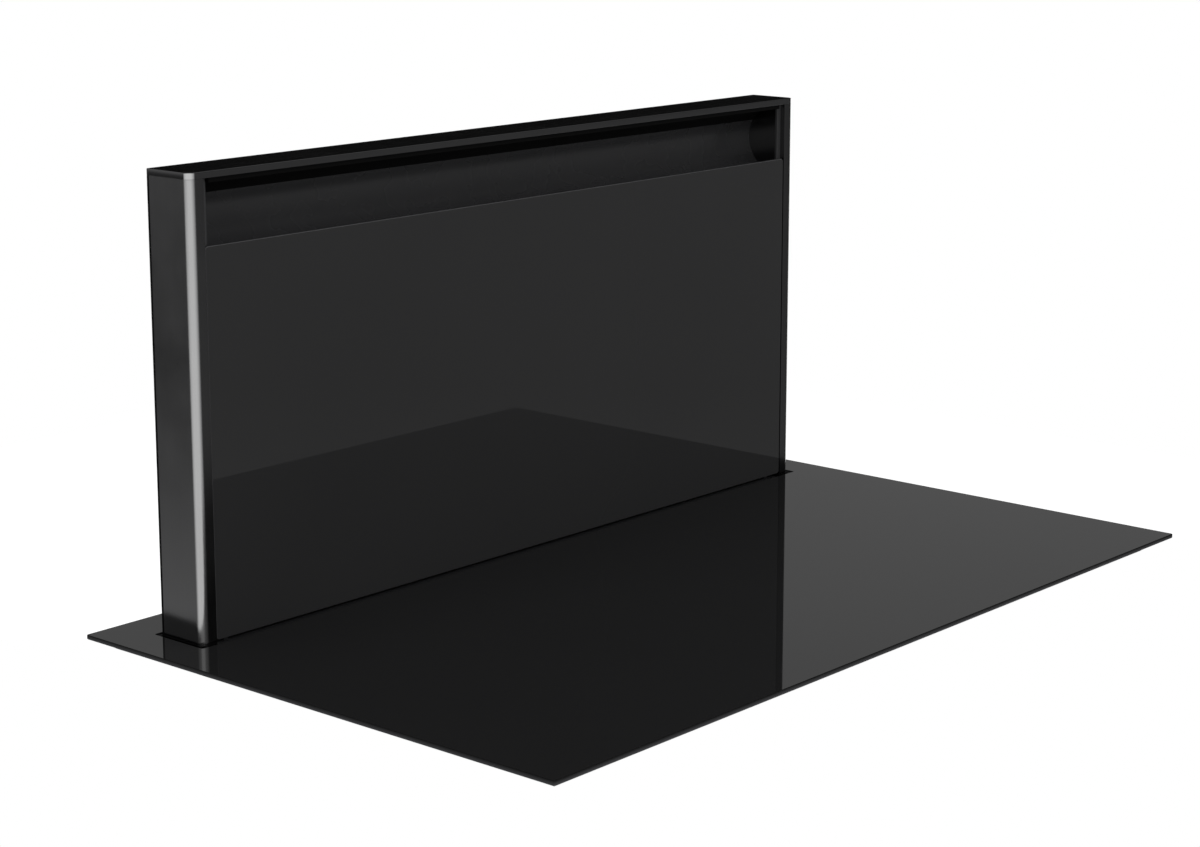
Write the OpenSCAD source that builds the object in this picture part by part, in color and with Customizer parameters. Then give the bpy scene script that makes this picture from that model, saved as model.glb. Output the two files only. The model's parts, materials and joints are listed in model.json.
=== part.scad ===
// Downdraft induction cooktop: a black glass plate that drops into a worktop, with an extraction
// tower that rises out of a slot near its rear edge, and all that hangs below the worktop.
// Millimetres. X runs left to right, Y front to back, Z up. Z = 0 is the worktop's top face, and
// the origin is below the centre of the plate. The tower is drawn raised.

/* [Glass plate] */
// Width of the glass plate
glass_w = 880; // [868:1:960]
// Depth of the glass plate, front to back
glass_d = 524; // [516:1:560]
// Thickness of the glass plate
glass_t = 4; // [3:0.5:6]
// Radius of the plate's corners, seen from above
glass_corner_r = 1.5; // [0.5:0.5:6]
// Thickness of the foam seal between the plate and the worktop
seal_t = 0.5; // [0.3:0.1:2]
// Width of the foam seal
seal_w = 8; // [4:0.5:8]
// Distance from the plate's edge to the seal
seal_inset = 3; // [1:0.5:3]

/* [Tower] */
// Width of the tower
tower_w = 796; // [760:1:800]
// Depth of the tower, front to back
tower_d = 52; // [50:1:58]
// Distance from the tower's rear face to the plate's rear edge
tower_back = 46.5; // [45:0.5:56]
// Height of the raised tower above the glass, which is also its travel
tower_rise = 390; // [340:1:420]
// Length of the raised tower that stays below the worktop's face
tower_keep = 106; // [100:1:130]
// Radius of the tower's two front upright edges
tower_front_r = 7.5; // [4:0.5:10]
// Radius of the tower's two rear upright edges
tower_rear_r = 1.5; // [0.5:0.5:4]
// Width of each end profile, seen from the front
stile_w = 15.5; // [13:0.5:20]
// Wall of the end profiles
profile_wall = 2.5; // [2:0.1:3]
// Thickness of the top cap
cap_t = 5.5; // [4:0.5:8]
// Height of the air intake between the cap and the front glass
intake_h = 55; // [45:1:65]
// Height of the light bar under the cap
light_h = 4; // [3:0.5:6]
// Depth of the light bar, front to back
light_d = 8; // [5:0.5:10]
// Thickness of the front glass
panel_t = 4; // [3:0.5:5]
// Step of the front glass behind the end profiles
panel_inset = 0.5; // [0.2:0.1:1]
// Gap between the front glass and the plate
panel_gap = 1.5; // [1:0.1:3]
// Thickness of the grease filter
filter_t = 9; // [7:0.5:11]
// Air gap between the front glass and the grease filter
plenum_d = 12; // [10:0.5:12]

/* [Slot in the plate] */
// Gap between the tower and the slot's edge
slot_gap = 4; // [3.5:0.1:5]
// Radius of the slot's corners
slot_r = 2; // [1:0.5:4]
// Gap between the slot trim and the tower
trim_gap = 1.5; // [1:0.1:2]
// Depth of the slot trim's top edge below the top of the glass
trim_drop = 1.5; // [0.5:0.1:2]
// Gap between the wiper seal and the tower
wiper_gap = 0.5; // [0.3:0.1:1]

/* [Housing below the worktop] */
// Space between the tower's end and the housing's outer face
end_space = 26; // [25.5:0.5:32]
// Space between the tower's front and the shaft's outer face
front_space = 24; // [22:0.5:30]
// Space between the tower's rear and the shaft's outer face
rear_space = 28.5; // [24:0.5:29]
// Height under the lowered tower for the lift gear and the drip tray
gear_space = 68; // [66:1:90]
// Thickness of the housing's sheet steel
sheet_t = 1.2; // [1:0.1:1.5]
// Thickness of the steel frame glued under the plate
frame_t = 2; // [1.5:0.1:3]
// Height of the induction tray
tray_h = 60; // [58:1:75]
// Sheet of the induction tray
tray_wall = 1; // [0.8:0.1:1.5]

/* [Induction parts] */
// Outer radius of a coil
coil_r = 80; // [70:1:84]
// Radius of the hole in the middle of a coil
coil_hole_r = 26; // [15:1:35]
// Thickness of a coil
coil_t = 4.5; // [3:0.5:5]
// Distance of the coils from the middle, left and right
coil_dx = 235; // [200:1:260]
// Side of a cooling fan
fan_w = 80; // [70:1:84]
// Height of a cooling fan
fan_h = 25; // [20:1:28]

/* [Lift] */
// Radius of the lift pulleys
pulley_r = 12; // [11:0.5:13]
// Width of the lift belts
belt_w = 10; // [8:0.5:10]
// Thickness of the lift belts
belt_t = 2; // [1.5:0.1:2.5]
// Radius of the cross shaft
shaft_r = 5; // [4:0.5:6]
// Radial clearance of a turning fit
turn_fit = 0.05; // [0.03:0.01:0.08]
// Gap between a fixed and a moving face
slide_gap = 0.3; // [0.3:0.1:0.5]

/* [Blower] */
// Outer radius of the blower wheel
wheel_r = 98; // [90:1:100]
// Width of the blower wheel's blades
blade_w = 80; // [70:1:84]
// Number of blades
blade_count = 36; // [24:1:44]
// Outer radius of the duct outlet
outlet_r = 74.5; // [72:0.5:76]
// Length of the duct outlet
outlet_l = 55; // [50:1:70]
// Wall of the duct outlet
outlet_wall = 2; // [1.5:0.1:3]
// Distance of the blower's axis from the middle, to the left
blower_left = 60; // [40:1:80]
// Depth of the blower's axis below the worktop
blower_down = 330; // [325:1:345]

/* [Hidden] */
$fn = 64;

// Levels of the plate and the tower
plate_z = seal_t;
plate_top = plate_z + glass_t;
tower_top = plate_top + tower_rise;
cap_z = tower_top - cap_t;
panel_z0 = plate_top + panel_gap;
panel_z1 = cap_z - intake_h;
tower_z0 = -tower_keep;
base_t = 2;
shaft_z0 = tower_z0 - base_t - tower_rise - gear_space;
frame_z = plate_z - frame_t;

// Places front to back
tower_y1 = glass_d / 2 - tower_back;
tower_y0 = tower_y1 - tower_d;
shaft_y0 = tower_y0 - front_space;
shaft_y1 = tower_y1 + rear_space;
tray_side = 4;
tray_front = 22;
tray_back = 11.5;
body_x = tower_w / 2 + end_space;
wall_x = body_x - sheet_t;
tray_x = body_x - tray_side;
tray_y0 = -glass_d / 2 + tray_front;
tray_y1 = shaft_y0 - tray_back;
tray_z0 = frame_z - tray_h;
tray_floor = tray_z0 + tray_wall;
end_x = tower_w / 2;
inner_x = end_x - stile_w;

// Layers of the tower, front to back
panel_y0 = tower_y0 + panel_inset;
panel_y1 = panel_y0 + panel_t;
back_t = 0.8;
lip_y0 = panel_y1 + slide_gap;
lip_t = 2.5;
lip_w = 6;
filter_y0 = panel_y1 + back_t + plenum_d;
filter_y1 = filter_y0 + filter_t;
filter_z0 = plate_top - 0.5;
seat_y0 = filter_y1 + 1;
seat_t = 2;
seat_w = 11;
rear_in = 5.5;
rear_y0 = tower_y1 - rear_in;
rear_t = 1.2;
light_in = 1.5;
light_y0 = tower_y0 + light_in;
light_y1 = light_y0 + light_d;

// The trim's flange under the steel frame, and the wiper below it
trim_flange_t = 2;
wiper_h = 10;

// The curved deflector of the intake
defl_t = 1.5;
defl_r = rear_y0 - light_y1 - 2;
defl_y = rear_y0 - defl_r;
defl_z = cap_z - defl_r;
defl_end = 50;
filter_z1 = defl_z - defl_r * sin(defl_end) - 6;

// The hinge of the front panel and of the filter
shelf_z1 = plate_top - 3;
shelf_t = 3.5;
hinge_y = panel_y1 + 4;
hinge_z = panel_z0 + 2.5;
hinge_pin_r = 1.8;
hinge_x = inner_x - 12;
ear_t = 1.2;
ear_r = 4;
tip_y = filter_y0 + 6;
tip_z = filter_z0 + 2;
tip_pin_r = 1.2;
filter_x = inner_x - 8.5;

// The lift
belt_x = end_x + 13;
belt_y = tower_y0 + 12.5;
belt_in = pulley_r + slide_gap;
belt_out = belt_in + belt_t;
shaft_axis_z = shaft_z0 + 42;
idler_z = -40;
rail_y = tower_y1 - 10.5;
rail_w = 22;
rail_d = 14;
rail_wall = 1.5;
shoe_gap = 0.4;
post_t = 2;
post_h = 74;

// The blower
blower_x = -blower_left;
blower_z = -blower_down;
outlet_room = 3;
scroll_in = 2 * outlet_r + outlet_room;
scroll_wall = 2;
scroll_plate = 3;
scroll_y1 = shaft_y0 - scroll_plate;
scroll_y0 = scroll_y1 - scroll_in;
wheel_gap = 8;
scroll_swell = 102;
scroll_r0 = wheel_r + wheel_gap;
scroll_r1 = scroll_r0 + scroll_swell;
tongue_deg = 25;
tongue_gap = 4;
outlet_reach = 132;
outlet_x = blower_x + wheel_r + outlet_reach;
outlet_y = (scroll_y0 + scroll_y1) / 2;
outlet_z = blower_z + scroll_r1 - scroll_in / 2;
inlet_gap = 14;
wheel_disc_t = 2;
wheel_ring_t = 3;
wheel_y1 = scroll_y1 - inlet_gap;
wheel_y0 = wheel_y1 - blade_w - wheel_disc_t - wheel_ring_t;
motor_r = 45;
motor_shaft_r = 4;
motor_neck_r = motor_shaft_r + 19;
flange_t = 3;
flap_in = 20;
flap_gap = 1;
flap_x = outlet_x + flap_in;
flap_r = outlet_r - outlet_wall - flap_gap;
flap_t = 1;

// The control box, on the front of the shaft at the left of the scroll
control = [140, 60, 160];
control_in = 8;
control_x = blower_x - scroll_r1 + control_in - control[0];
control_z = -300;
control_wall = 1.5;
cable_y = shaft_y0 - 30;
gland_x = control_x + 40;
gland_r = 8;
gland_bore_r = 6;
conduit_x = control_x + 100;
conduit_r = 6;
hole_fit = 0.1;

// The clamps under the worktop and the feet on the cabinet's back
clamp_z = -58;
clamp_t = 2;
clamp_out = 20;
clamp_screw_r = 2.5;
clamp_places = [[tray_x, -150], [body_x, (shaft_y0 + shaft_y1) / 2]];
foot_x = body_x - 44;
foot_w = 30;
foot_t = 2;
foot_hole_r = 2.75;

// The drip tray
drip_side = 28;
drip_x0 = 100;
drip_x1 = end_x - drip_side;
drip_h = 24;

// A box between two corners, each given as its low and high value
module block(x, y, z) {
    translate([x[0], y[0], z[0]]) cube([x[1] - x[0], y[1] - y[0], z[1] - z[0]]);
}

// A drawing of (Y, Z) points drawn out along X, and one of (X, Z) points along Y
module along_x(x0, x1) {
    translate([x0, 0, 0]) rotate([90, 0, 90]) linear_extrude(x1 - x0) children();
}

module along_y(y0, y1) {
    translate([0, y1, 0]) rotate([90, 0, 0]) linear_extrude(y1 - y0) children();
}

// A round bar along X or Y through the given centre
module bar_x(x0, x1, y, z, r) {
    translate([x0, y, z]) rotate([0, 90, 0]) cylinder(r = r, h = x1 - x0);
}

module bar_y(y0, y1, x, z, r) {
    translate([x, y1, z]) rotate([90, 0, 0]) cylinder(r = r, h = y1 - y0);
}

module both_ends() {
    children();
    mirror([1, 0, 0]) children();
}

module rounded_rect(w, d, r) {
    square([w - 2 * r, d], center = true);
    square([w, d - 2 * r], center = true);
    for (sx = [-1, 1], sy = [-1, 1])
        translate([sx * (w / 2 - r), sy * (d / 2 - r)]) circle(r);
}

// The tower's outline seen from above, made larger all round by grow
module tower_plan(grow = 0) {
    w = tower_w / 2 + grow;
    y0 = tower_y0 - grow;
    y1 = tower_y1 + grow;
    rf = tower_front_r + grow;
    rr = tower_rear_r + grow;
    translate([-w + rf, y0]) square([2 * (w - rf), y1 - y0 - rr]);
    translate([-w + rr, y0 + rf]) square([2 * (w - rr), y1 - y0 - rf]);
    translate([-w, y0 + rf]) square([2 * w, y1 - y0 - rf - rr]);
    for (s = [-1, 1]) {
        translate([s * (w - rf), y0 + rf]) circle(rf);
        translate([s * (w - rr), y1 - rr]) circle(rr);
    }
}

module slot_plan(gap, r) {
    translate([0, (tower_y0 + tower_y1) / 2])
        rounded_rect(tower_w + 2 * gap, tower_d + 2 * gap, r);
}

// The glass plate and what lies directly under it
module glass_plate() {
    color("#141416") translate([0, 0, plate_z]) linear_extrude(glass_t) difference() {
        rounded_rect(glass_w, glass_d, glass_corner_r);
        slot_plan(slot_gap, slot_r);
    }
}

module plate_seal() {
    w = glass_w - 2 * seal_inset;
    d = glass_d - 2 * seal_inset;
    color("#3a3a3c") linear_extrude(seal_t) difference() {
        rounded_rect(w, d, glass_corner_r);
        rounded_rect(w - 2 * seal_w, d - 2 * seal_w, glass_corner_r);
    }
}

// The trim stands in the slot, its flange lies under the steel frame
module slot_trim() {
    flange_w = 9;
    z0 = frame_z - trim_flange_t;
    color("#0c0c0d") difference() {
        union() {
            translate([0, 0, z0]) linear_extrude(trim_flange_t)
                slot_plan(slot_gap + flange_w, 2 * slot_r + 2);
            translate([0, 0, z0]) linear_extrude(plate_top - trim_drop - z0)
                slot_plan(slot_gap - slide_gap, slot_r);
        }
        translate([0, 0, z0 - 1]) linear_extrude(plate_top - z0 + 2) slot_plan(trim_gap, slot_r / 2);
    }
}

module slot_wiper() {
    z0 = frame_z - trim_flange_t - wiper_h;
    color("#222224") translate([0, 0, z0]) linear_extrude(wiper_h) difference() {
        slot_plan(slot_gap + 2, slot_r);
        tower_plan(wiper_gap);
    }
}

module under_frame() {
    x = body_x - 1;
    bar = 23;
    front_bar = 15;
    y0 = tray_y0 - 3;
    color("#8d9093") difference() {
        block([-x, x], [y0, shaft_y1 - 1], [frame_z, plate_z]);
        block([bar - x, x - bar], [y0 + front_bar, shaft_y0 - bar], [frame_z - 1, plate_z + 1]);
        translate([0, 0, frame_z - 1]) linear_extrude(frame_t + 2) slot_plan(slot_gap + 2, slot_r);
    }
}

// The induction module
post_r = 4;
coil_plate_t = 1.5;
coil_base_t = 7;
coil_top = plate_z - 3;
coil_plate_z = coil_top - coil_t - coil_base_t - coil_plate_t;
coil_y = (tray_y0 + tray_y1) / 2;
coil_dy = coil_r + 10;
fan_side = 62;
fan_back = 70;
fan_rim = 2;
fan_x = tray_x - fan_side;
fan_y = tray_y1 - fan_back;
fan_bore = fan_w / 2 - fan_rim;
fan_hub_r = 15;
fan_pin_r = 1.5;

module induction_tray() {
    slots = 16;
    slot_pitch = 46;
    slot_size = [34, 5, 5];
    slot_up = 22;
    post_inset = 16;
    color("#9a9da0") {
        difference() {
            block([-tray_x, tray_x], [tray_y0, tray_y1], [tray_z0, frame_z]);
            block([tray_wall - tray_x, tray_x - tray_wall],
                [tray_y0 + tray_wall, tray_y1 - tray_wall], [tray_floor, frame_z + 1]);
            for (s = [-1, 1])
                translate([s * fan_x, fan_y, tray_z0 - 1]) cylinder(r = fan_bore, h = 5);
            for (i = [0 : slots - 1])
                translate([(i - (slots - 1) / 2) * slot_pitch, tray_y0, tray_floor + slot_up])
                    cube(slot_size, center = true);
        }
        for (x = [-1, 0, 1], y = [tray_y0 + post_inset + 6, tray_y1 - post_inset])
            translate([x * (tray_x - post_inset), y, tray_floor])
                cylinder(r = post_r, h = coil_plate_z - tray_floor);
    }
}

module coil_plate() {
    x = tray_x - 7;
    color("#b9bcc0")
        block([-x, x], [tray_y0 + 7, tray_y1 - 7], [coil_plate_z, coil_plate_z + coil_plate_t]);
}

module coil(side, row) {
    color("#b06a35") translate([side * coil_dx, coil_y + row * coil_dy, coil_top - coil_t])
        difference() {
            cylinder(r = coil_r, h = coil_t);
            translate([0, 0, -1]) cylinder(r = coil_hole_r, h = coil_t + 2);
            // the step between the inner and the outer winding
            translate([0, 0, coil_t - 1]) difference() {
                cylinder(r = (coil_r + coil_hole_r) / 2 + 3, h = 2);
                cylinder(r = (coil_r + coil_hole_r) / 2 - 1, h = 2);
            }
        }
}

module coil_front_left() coil(-1, -1);
module coil_front_right() coil(1, -1);
module coil_rear_left() coil(-1, 1);
module coil_rear_right() coil(1, 1);

module coil_bases() {
    ferrites = 8;
    bar_h = 3;
    color("#2b2c2e") for (sx = [-1, 1], sy = [-1, 1])
        translate([sx * coil_dx, coil_y + sy * coil_dy, coil_plate_z + coil_plate_t]) {
            translate([0, 0, bar_h]) cylinder(r = coil_r + 4, h = coil_base_t - bar_h);
            for (i = [0 : ferrites - 1])
                rotate(i * 360 / ferrites)
                    translate([coil_hole_r, -6, 0]) cube([coil_r - coil_hole_r, 12, bar_h]);
        }
}

board_t = 1.6;
board_z = tray_floor + 4;
board_x0 = 40;
board_x1 = fan_x - fan_w / 2 - 12;
board_y0 = tray_y0 + 40;
board_y1 = tray_y1 - 40;

module power_boards() {
    cap_r = 9;
    cap_h = 22;
    choke_r = 20;
    choke_h = 16;
    choke_hole_r = 9;
    choke_floor = 2;
    choke_pitch = 60;
    color("#1f5a3a") both_ends() {
        block([board_x0, board_x1], [board_y0, board_y1], [board_z, board_z + board_t]);
        for (x = [board_x0 + 8, board_x1 - 8], y = [board_y0 + 8, board_y1 - 8])
            translate([x, y, tray_floor]) cylinder(r = 3, h = board_z - tray_floor);
    }
    color("#22252b") both_ends() for (i = [0 : 3])
        translate([board_x0 + 30 + 26 * i, board_y0 + 30, board_z + board_t])
            cylinder(r = cap_r, h = cap_h);
    color("#c9a23c") both_ends() for (i = [0 : 1])
        translate([board_x0 + 40 + choke_pitch * i, board_y1 - 45, board_z + board_t]) difference() {
            cylinder(r = choke_r, h = choke_h);
            translate([0, 0, choke_floor]) cylinder(r = choke_hole_r, h = choke_h);
        }
}

module heatsinks() {
    fins = 9;
    fin_t = 1.6;
    length = board_x1 - board_x0 - 50;
    pitch = 7;
    y = (board_y0 + board_y1) / 2 - fins * pitch / 2;
    z = board_z + board_t;
    color("#c4c6c9") both_ends() {
        block([board_x0 + 25, board_x0 + 25 + length], [y, y + (fins - 1) * pitch + fin_t], [z, z + 4]);
        for (i = [0 : fins - 1])
            block([board_x0 + 25, board_x0 + 25 + length],
                [y + i * pitch, y + i * pitch + fin_t], [z, z + fan_h]);
    }
}

module fan_frames() {
    spoke_w = 4;
    spoke_l = fan_bore - fan_hub_r + 4;
    color("#161617") for (s = [-1, 1])
        translate([s * fan_x, fan_y, tray_floor]) {
            difference() {
                translate([0, 0, fan_h / 2]) cube([fan_w, fan_w, fan_h], center = true);
                translate([0, 0, -1]) cylinder(r = fan_bore, h = fan_h + 2);
            }
            cylinder(r = fan_hub_r, h = 3);
            cylinder(r = fan_pin_r, h = fan_h - 3);
            for (a = [45 : 90 : 315])
                rotate(a) translate([fan_hub_r - 2, -spoke_w / 2, 0]) cube([spoke_l, spoke_w, 3]);
        }
}

module fan_rotor(side) {
    blades = 7;
    blade_t = 1.6;
    z0 = 3 + slide_gap;
    h = fan_h - z0 - 1;
    color("#26272a")
        translate([side * fan_x, fan_y, tray_floor + z0]) difference() {
            union() {
                cylinder(r = fan_hub_r, h = h);
                for (i = [0 : blades - 1])
                    rotate(i * 360 / blades) translate([fan_hub_r - 1, 0, h / 2]) rotate([38, 0, 0])
                        translate([0, -1, -h / 2]) cube([fan_bore - fan_hub_r - 2, blade_t, h]);
            }
            translate([0, 0, -1]) cylinder(r = fan_pin_r + turn_fit, h = h + 2);
        }
}

module fan_rotor_left() fan_rotor(-1);
module fan_rotor_right() fan_rotor(1);

module touch_board() {
    w = 300;
    d = 36;
    key = 8;
    key_t = 1;
    key_pitch = 30;
    y0 = tray_y0 + 14;
    z = plate_z - board_t;
    color("#20242a") {
        block([-w / 2, w / 2], [y0, y0 + d], [z, plate_z]);
        for (i = [-4 : 4])
            translate([i * key_pitch, y0 + d / 2, z - key_t / 2]) cube([key, key, key_t], center = true);
    }
}

// The shaft that the tower sinks into
hole_r = wheel_r - 18;
screw_r = 2;
screw_fit = 0.1;
screw_rows = [-60, -300, shaft_z0 + 40];
screw_x = body_x - 12;

module shaft_front() {
    color("#a4a7aa") {
        difference() {
            block([-body_x, body_x], [shaft_y0, shaft_y0 + sheet_t], [shaft_z0, frame_z]);
            bar_y(shaft_y0 - 1, shaft_y0 + 5, blower_x, blower_z, hole_r);
            block([drip_x0 - 2, drip_x1 + 2], [shaft_y0 - 1, shaft_y0 + 5],
                [shaft_z0 + sheet_t, shaft_z0 + sheet_t + drip_h + 2]);
        }
        block([-body_x + 20, body_x - 20], [shaft_y0 - 9, shaft_y0], [frame_z - sheet_t, frame_z]);
    }
}

module shaft_rear() {
    color("#a4a7aa") {
        difference() {
            block([-body_x, body_x], [shaft_y1 - sheet_t, shaft_y1], [shaft_z0, frame_z]);
            for (s = [-1, 1], z = screw_rows)
                bar_y(shaft_y1 - 5, shaft_y1 + 5, s * screw_x, z, screw_r + screw_fit);
        }
        block([-wall_x, wall_x], [shaft_y1 - 9, shaft_y1 - sheet_t], [frame_z - sheet_t, frame_z]);
    }
}

module shaft_side() {
    tab = 20;
    y1 = shaft_y1 - sheet_t;
    color("#a4a7aa") {
        block([wall_x, body_x], [shaft_y0 + sheet_t, y1], [shaft_z0, frame_z - sheet_t]);
        difference() {
            block([wall_x - tab, wall_x], [y1 - sheet_t, y1],
                [shaft_z0 + sheet_t, frame_z - sheet_t]);
            for (z = screw_rows)
                bar_y(y1 - 5, y1 + 5, screw_x, z, screw_r + screw_fit);
        }
    }
}

module shaft_side_right() shaft_side();
module shaft_side_left() mirror([1, 0, 0]) shaft_side();

module shaft_floor() {
    color("#a4a7aa") block([-wall_x, wall_x], [shaft_y0 + sheet_t, shaft_y1 - sheet_t],
        [shaft_z0, shaft_z0 + sheet_t]);
}

module panel_screws() {
    head_r = 3.8;
    head_t = 2;
    length = 8;
    color("#d0d2d5") for (s = [-1, 1], z = screw_rows) {
        bar_y(shaft_y1, shaft_y1 + head_t, s * screw_x, z, head_r);
        bar_y(shaft_y1 - length, shaft_y1, s * screw_x, z, screw_r);
    }
}

module foot_brackets() {
    below = 34;
    above = 30;
    hole_z = shaft_z0 - below + foot_w / 2;
    color("#8d9093") both_ends() difference() {
        block([foot_x - foot_w / 2, foot_x + foot_w / 2], [shaft_y1, shaft_y1 + foot_t],
            [shaft_z0 - below, shaft_z0 + above]);
        bar_y(shaft_y1 - foot_t, shaft_y1 + 2 * foot_t, foot_x, hole_z, foot_hole_r);
    }
}

// The lift gear
module guide_rails() {
    z0 = shaft_z0 + 52;
    color("#75787b") both_ends() difference() {
        block([wall_x - rail_d, wall_x], [rail_y - rail_w / 2, rail_y + rail_w / 2], [z0, -18]);
        block([wall_x - rail_d - 1, wall_x - rail_wall],
            [rail_y - rail_w / 2 + rail_wall, rail_y + rail_w / 2 - rail_wall], [z0 - 1, -17]);
    }
}

module belt_loop_plan(r) {
    for (z = [idler_z, shaft_axis_z]) translate([belt_y, z]) circle(r);
    translate([belt_y - r, shaft_axis_z]) square([2 * r, idler_z - shaft_axis_z]);
}

module lift_belts() {
    color("#1c1c1e") both_ends() along_x(belt_x - belt_w / 2, belt_x + belt_w / 2) difference() {
        belt_loop_plan(belt_out);
        belt_loop_plan(belt_in);
    }
}

idler_pin_r = 3;

module idler_pins() {
    collar_r = 8;
    collar_gap = 0.8;
    head_r = 5;
    head_t = 2;
    head_gap = 0.5;
    x0 = belt_x - belt_w / 2 - head_gap;
    color("#b4b7ba") both_ends() {
        bar_x(belt_x + belt_w / 2 + collar_gap, wall_x, belt_y, idler_z, collar_r);
        bar_x(x0 - head_t / 2, wall_x, belt_y, idler_z, idler_pin_r);
        bar_x(x0 - head_t, x0, belt_y, idler_z, head_r);
    }
}

module idler_pulleys() {
    color("#5b5e61") both_ends() difference() {
        bar_x(belt_x - belt_w / 2, belt_x + belt_w / 2, belt_y, idler_z, pulley_r);
        bar_x(belt_x - belt_w, belt_x + belt_w, belt_y, idler_z, idler_pin_r + turn_fit);
    }
}

module cross_shaft() {
    color("#c4c6c9") {
        bar_x(-belt_x - belt_w / 2 - 2, belt_x + belt_w / 2 + 2, belt_y, shaft_axis_z, shaft_r);
        both_ends() bar_x(belt_x - belt_w / 2, belt_x + belt_w / 2, belt_y, shaft_axis_z, pulley_r);
    }
}

module bearing_blocks() {
    half = 12;
    x0 = end_x - 10;
    x1 = end_x + 2;
    z1 = shaft_axis_z + half + 1;
    color("#2b2c2e") both_ends() difference() {
        block([x0, x1], [belt_y - half, belt_y + half], [shaft_z0 + sheet_t, z1]);
        bar_x(x0 - 1, x1 + 1, belt_y, shaft_axis_z, shaft_r + turn_fit);
    }
}

module lift_motor() {
    x0 = -150;
    x1 = -90;
    front = 18;
    rear = 42;
    top = 16;
    can_r = 20;
    can_l = 110;
    can_back = 26;
    can_down = 16;
    cap_r = 8;
    cap_l = 8;
    can_y = belt_y + can_back;
    can_z = shaft_axis_z - can_down;
    color("#55585b") difference() {
        union() {
            block([x0, x1], [belt_y - front, belt_y + rear], [shaft_z0 + sheet_t, shaft_axis_z + top]);
            bar_x(x1, x1 + can_l, can_y, can_z, can_r);
            bar_x(x1 + can_l, x1 + can_l + cap_l, can_y, can_z, cap_r);
        }
        bar_x(x0 - 1, x1 + 1, belt_y, shaft_axis_z, shaft_r + turn_fit);
    }
}

// The blower. The scroll is drawn in (X, Z) round the blower's axis.
function scroll_point(a, grow) =
    let (r = scroll_r0 + (scroll_r1 - scroll_r0) * (tongue_deg - a) / (tongue_deg + 270) + grow)
    [blower_x + r * cos(a), blower_z + r * sin(a)];

module scroll_plan(grow) {
    low = outlet_z - scroll_in / 2 - grow;
    polygon(concat(
        [for (a = [tongue_deg : -5 : -270]) scroll_point(a, grow)],
        [[outlet_x, blower_z + scroll_r1 + grow], [outlet_x, low],
            [blower_x + scroll_r0 + tongue_gap, low]]));
}

module scroll_housing() {
    color("#3b3d40") {
        along_y(scroll_y0, scroll_y1) difference() {
            scroll_plan(scroll_wall);
            scroll_plan(0);
            // the open end of the outlet
            translate([outlet_x - 1, outlet_z - scroll_in / 2]) square([2, scroll_in]);
        }
        along_y(scroll_y1, scroll_y1 + scroll_plate) difference() {
            scroll_plan(scroll_wall);
            translate([blower_x, blower_z]) circle(hole_r);
        }
    }
}

module scroll_cover() {
    color("#3b3d40") along_y(scroll_y0 - scroll_plate, scroll_y0) difference() {
        scroll_plan(scroll_wall);
        translate([blower_x, blower_z]) circle(motor_neck_r + 1);
    }
}

module blower_motor() {
    motor_gap = 6;
    neck_l = 14;
    color("#6d7073") difference() {
        union() {
            bar_y(scroll_y0, wheel_y0 - motor_gap, blower_x, blower_z, motor_r);
            bar_y(scroll_y0 - scroll_plate - neck_l, scroll_y0, blower_x, blower_z, motor_neck_r);
        }
        bar_y(scroll_y0 + 5, wheel_y0, blower_x, blower_z, motor_shaft_r + turn_fit);
    }
}

module blower_wheel() {
    rim = 15;
    blade_t = 1.2;
    blade_deg = 35;
    hub_r = 14;
    hub_l = 14;
    color("#2a2c2f") {
        bar_y(scroll_y0 + wheel_gap, wheel_y0 + hub_l, blower_x, blower_z, motor_shaft_r);
        bar_y(wheel_y0 - 4, wheel_y0 + hub_l, blower_x, blower_z, hub_r);
        bar_y(wheel_y0, wheel_y0 + wheel_disc_t, blower_x, blower_z, wheel_r);
        along_y(wheel_y0 + wheel_disc_t, wheel_y1 - wheel_ring_t) translate([blower_x, blower_z])
            for (i = [0 : blade_count - 1])
                rotate(i * 360 / blade_count) translate([wheel_r - rim / 2 - 1, 0]) rotate(blade_deg)
                    square([rim, blade_t], center = true);
        along_y(wheel_y1 - wheel_ring_t, wheel_y1) translate([blower_x, blower_z]) difference() {
            circle(wheel_r);
            circle(wheel_r - rim);
        }
    }
}

module duct_outlet() {
    r = outlet_r - outlet_wall;
    half = scroll_in / 2 + 2 * scroll_wall;
    x1 = outlet_x + flange_t;
    color("#303235") {
        difference() {
            block([outlet_x, x1], [scroll_y0 - scroll_plate, scroll_y1 + scroll_plate],
                [outlet_z - half, outlet_z + half]);
            bar_x(outlet_x - 1, x1 + 1, outlet_y, outlet_z, r);
        }
        difference() {
            bar_x(x1, x1 + outlet_l, outlet_y, outlet_z, outlet_r);
            bar_x(x1 - 1, x1 + outlet_l + 1, outlet_y, outlet_z, r);
        }
    }
}

flap_pin_r = 1.5;
knuckle_r = 3;
knuckle_gap = 0.2;
knuckle_tip = 8;

module flap_pin() {
    h = 2 * (outlet_r - outlet_wall - knuckle_gap);
    color("#c4c6c9") translate([flap_x, outlet_y, outlet_z - h / 2]) cylinder(r = flap_pin_r, h = h);
}

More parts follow.
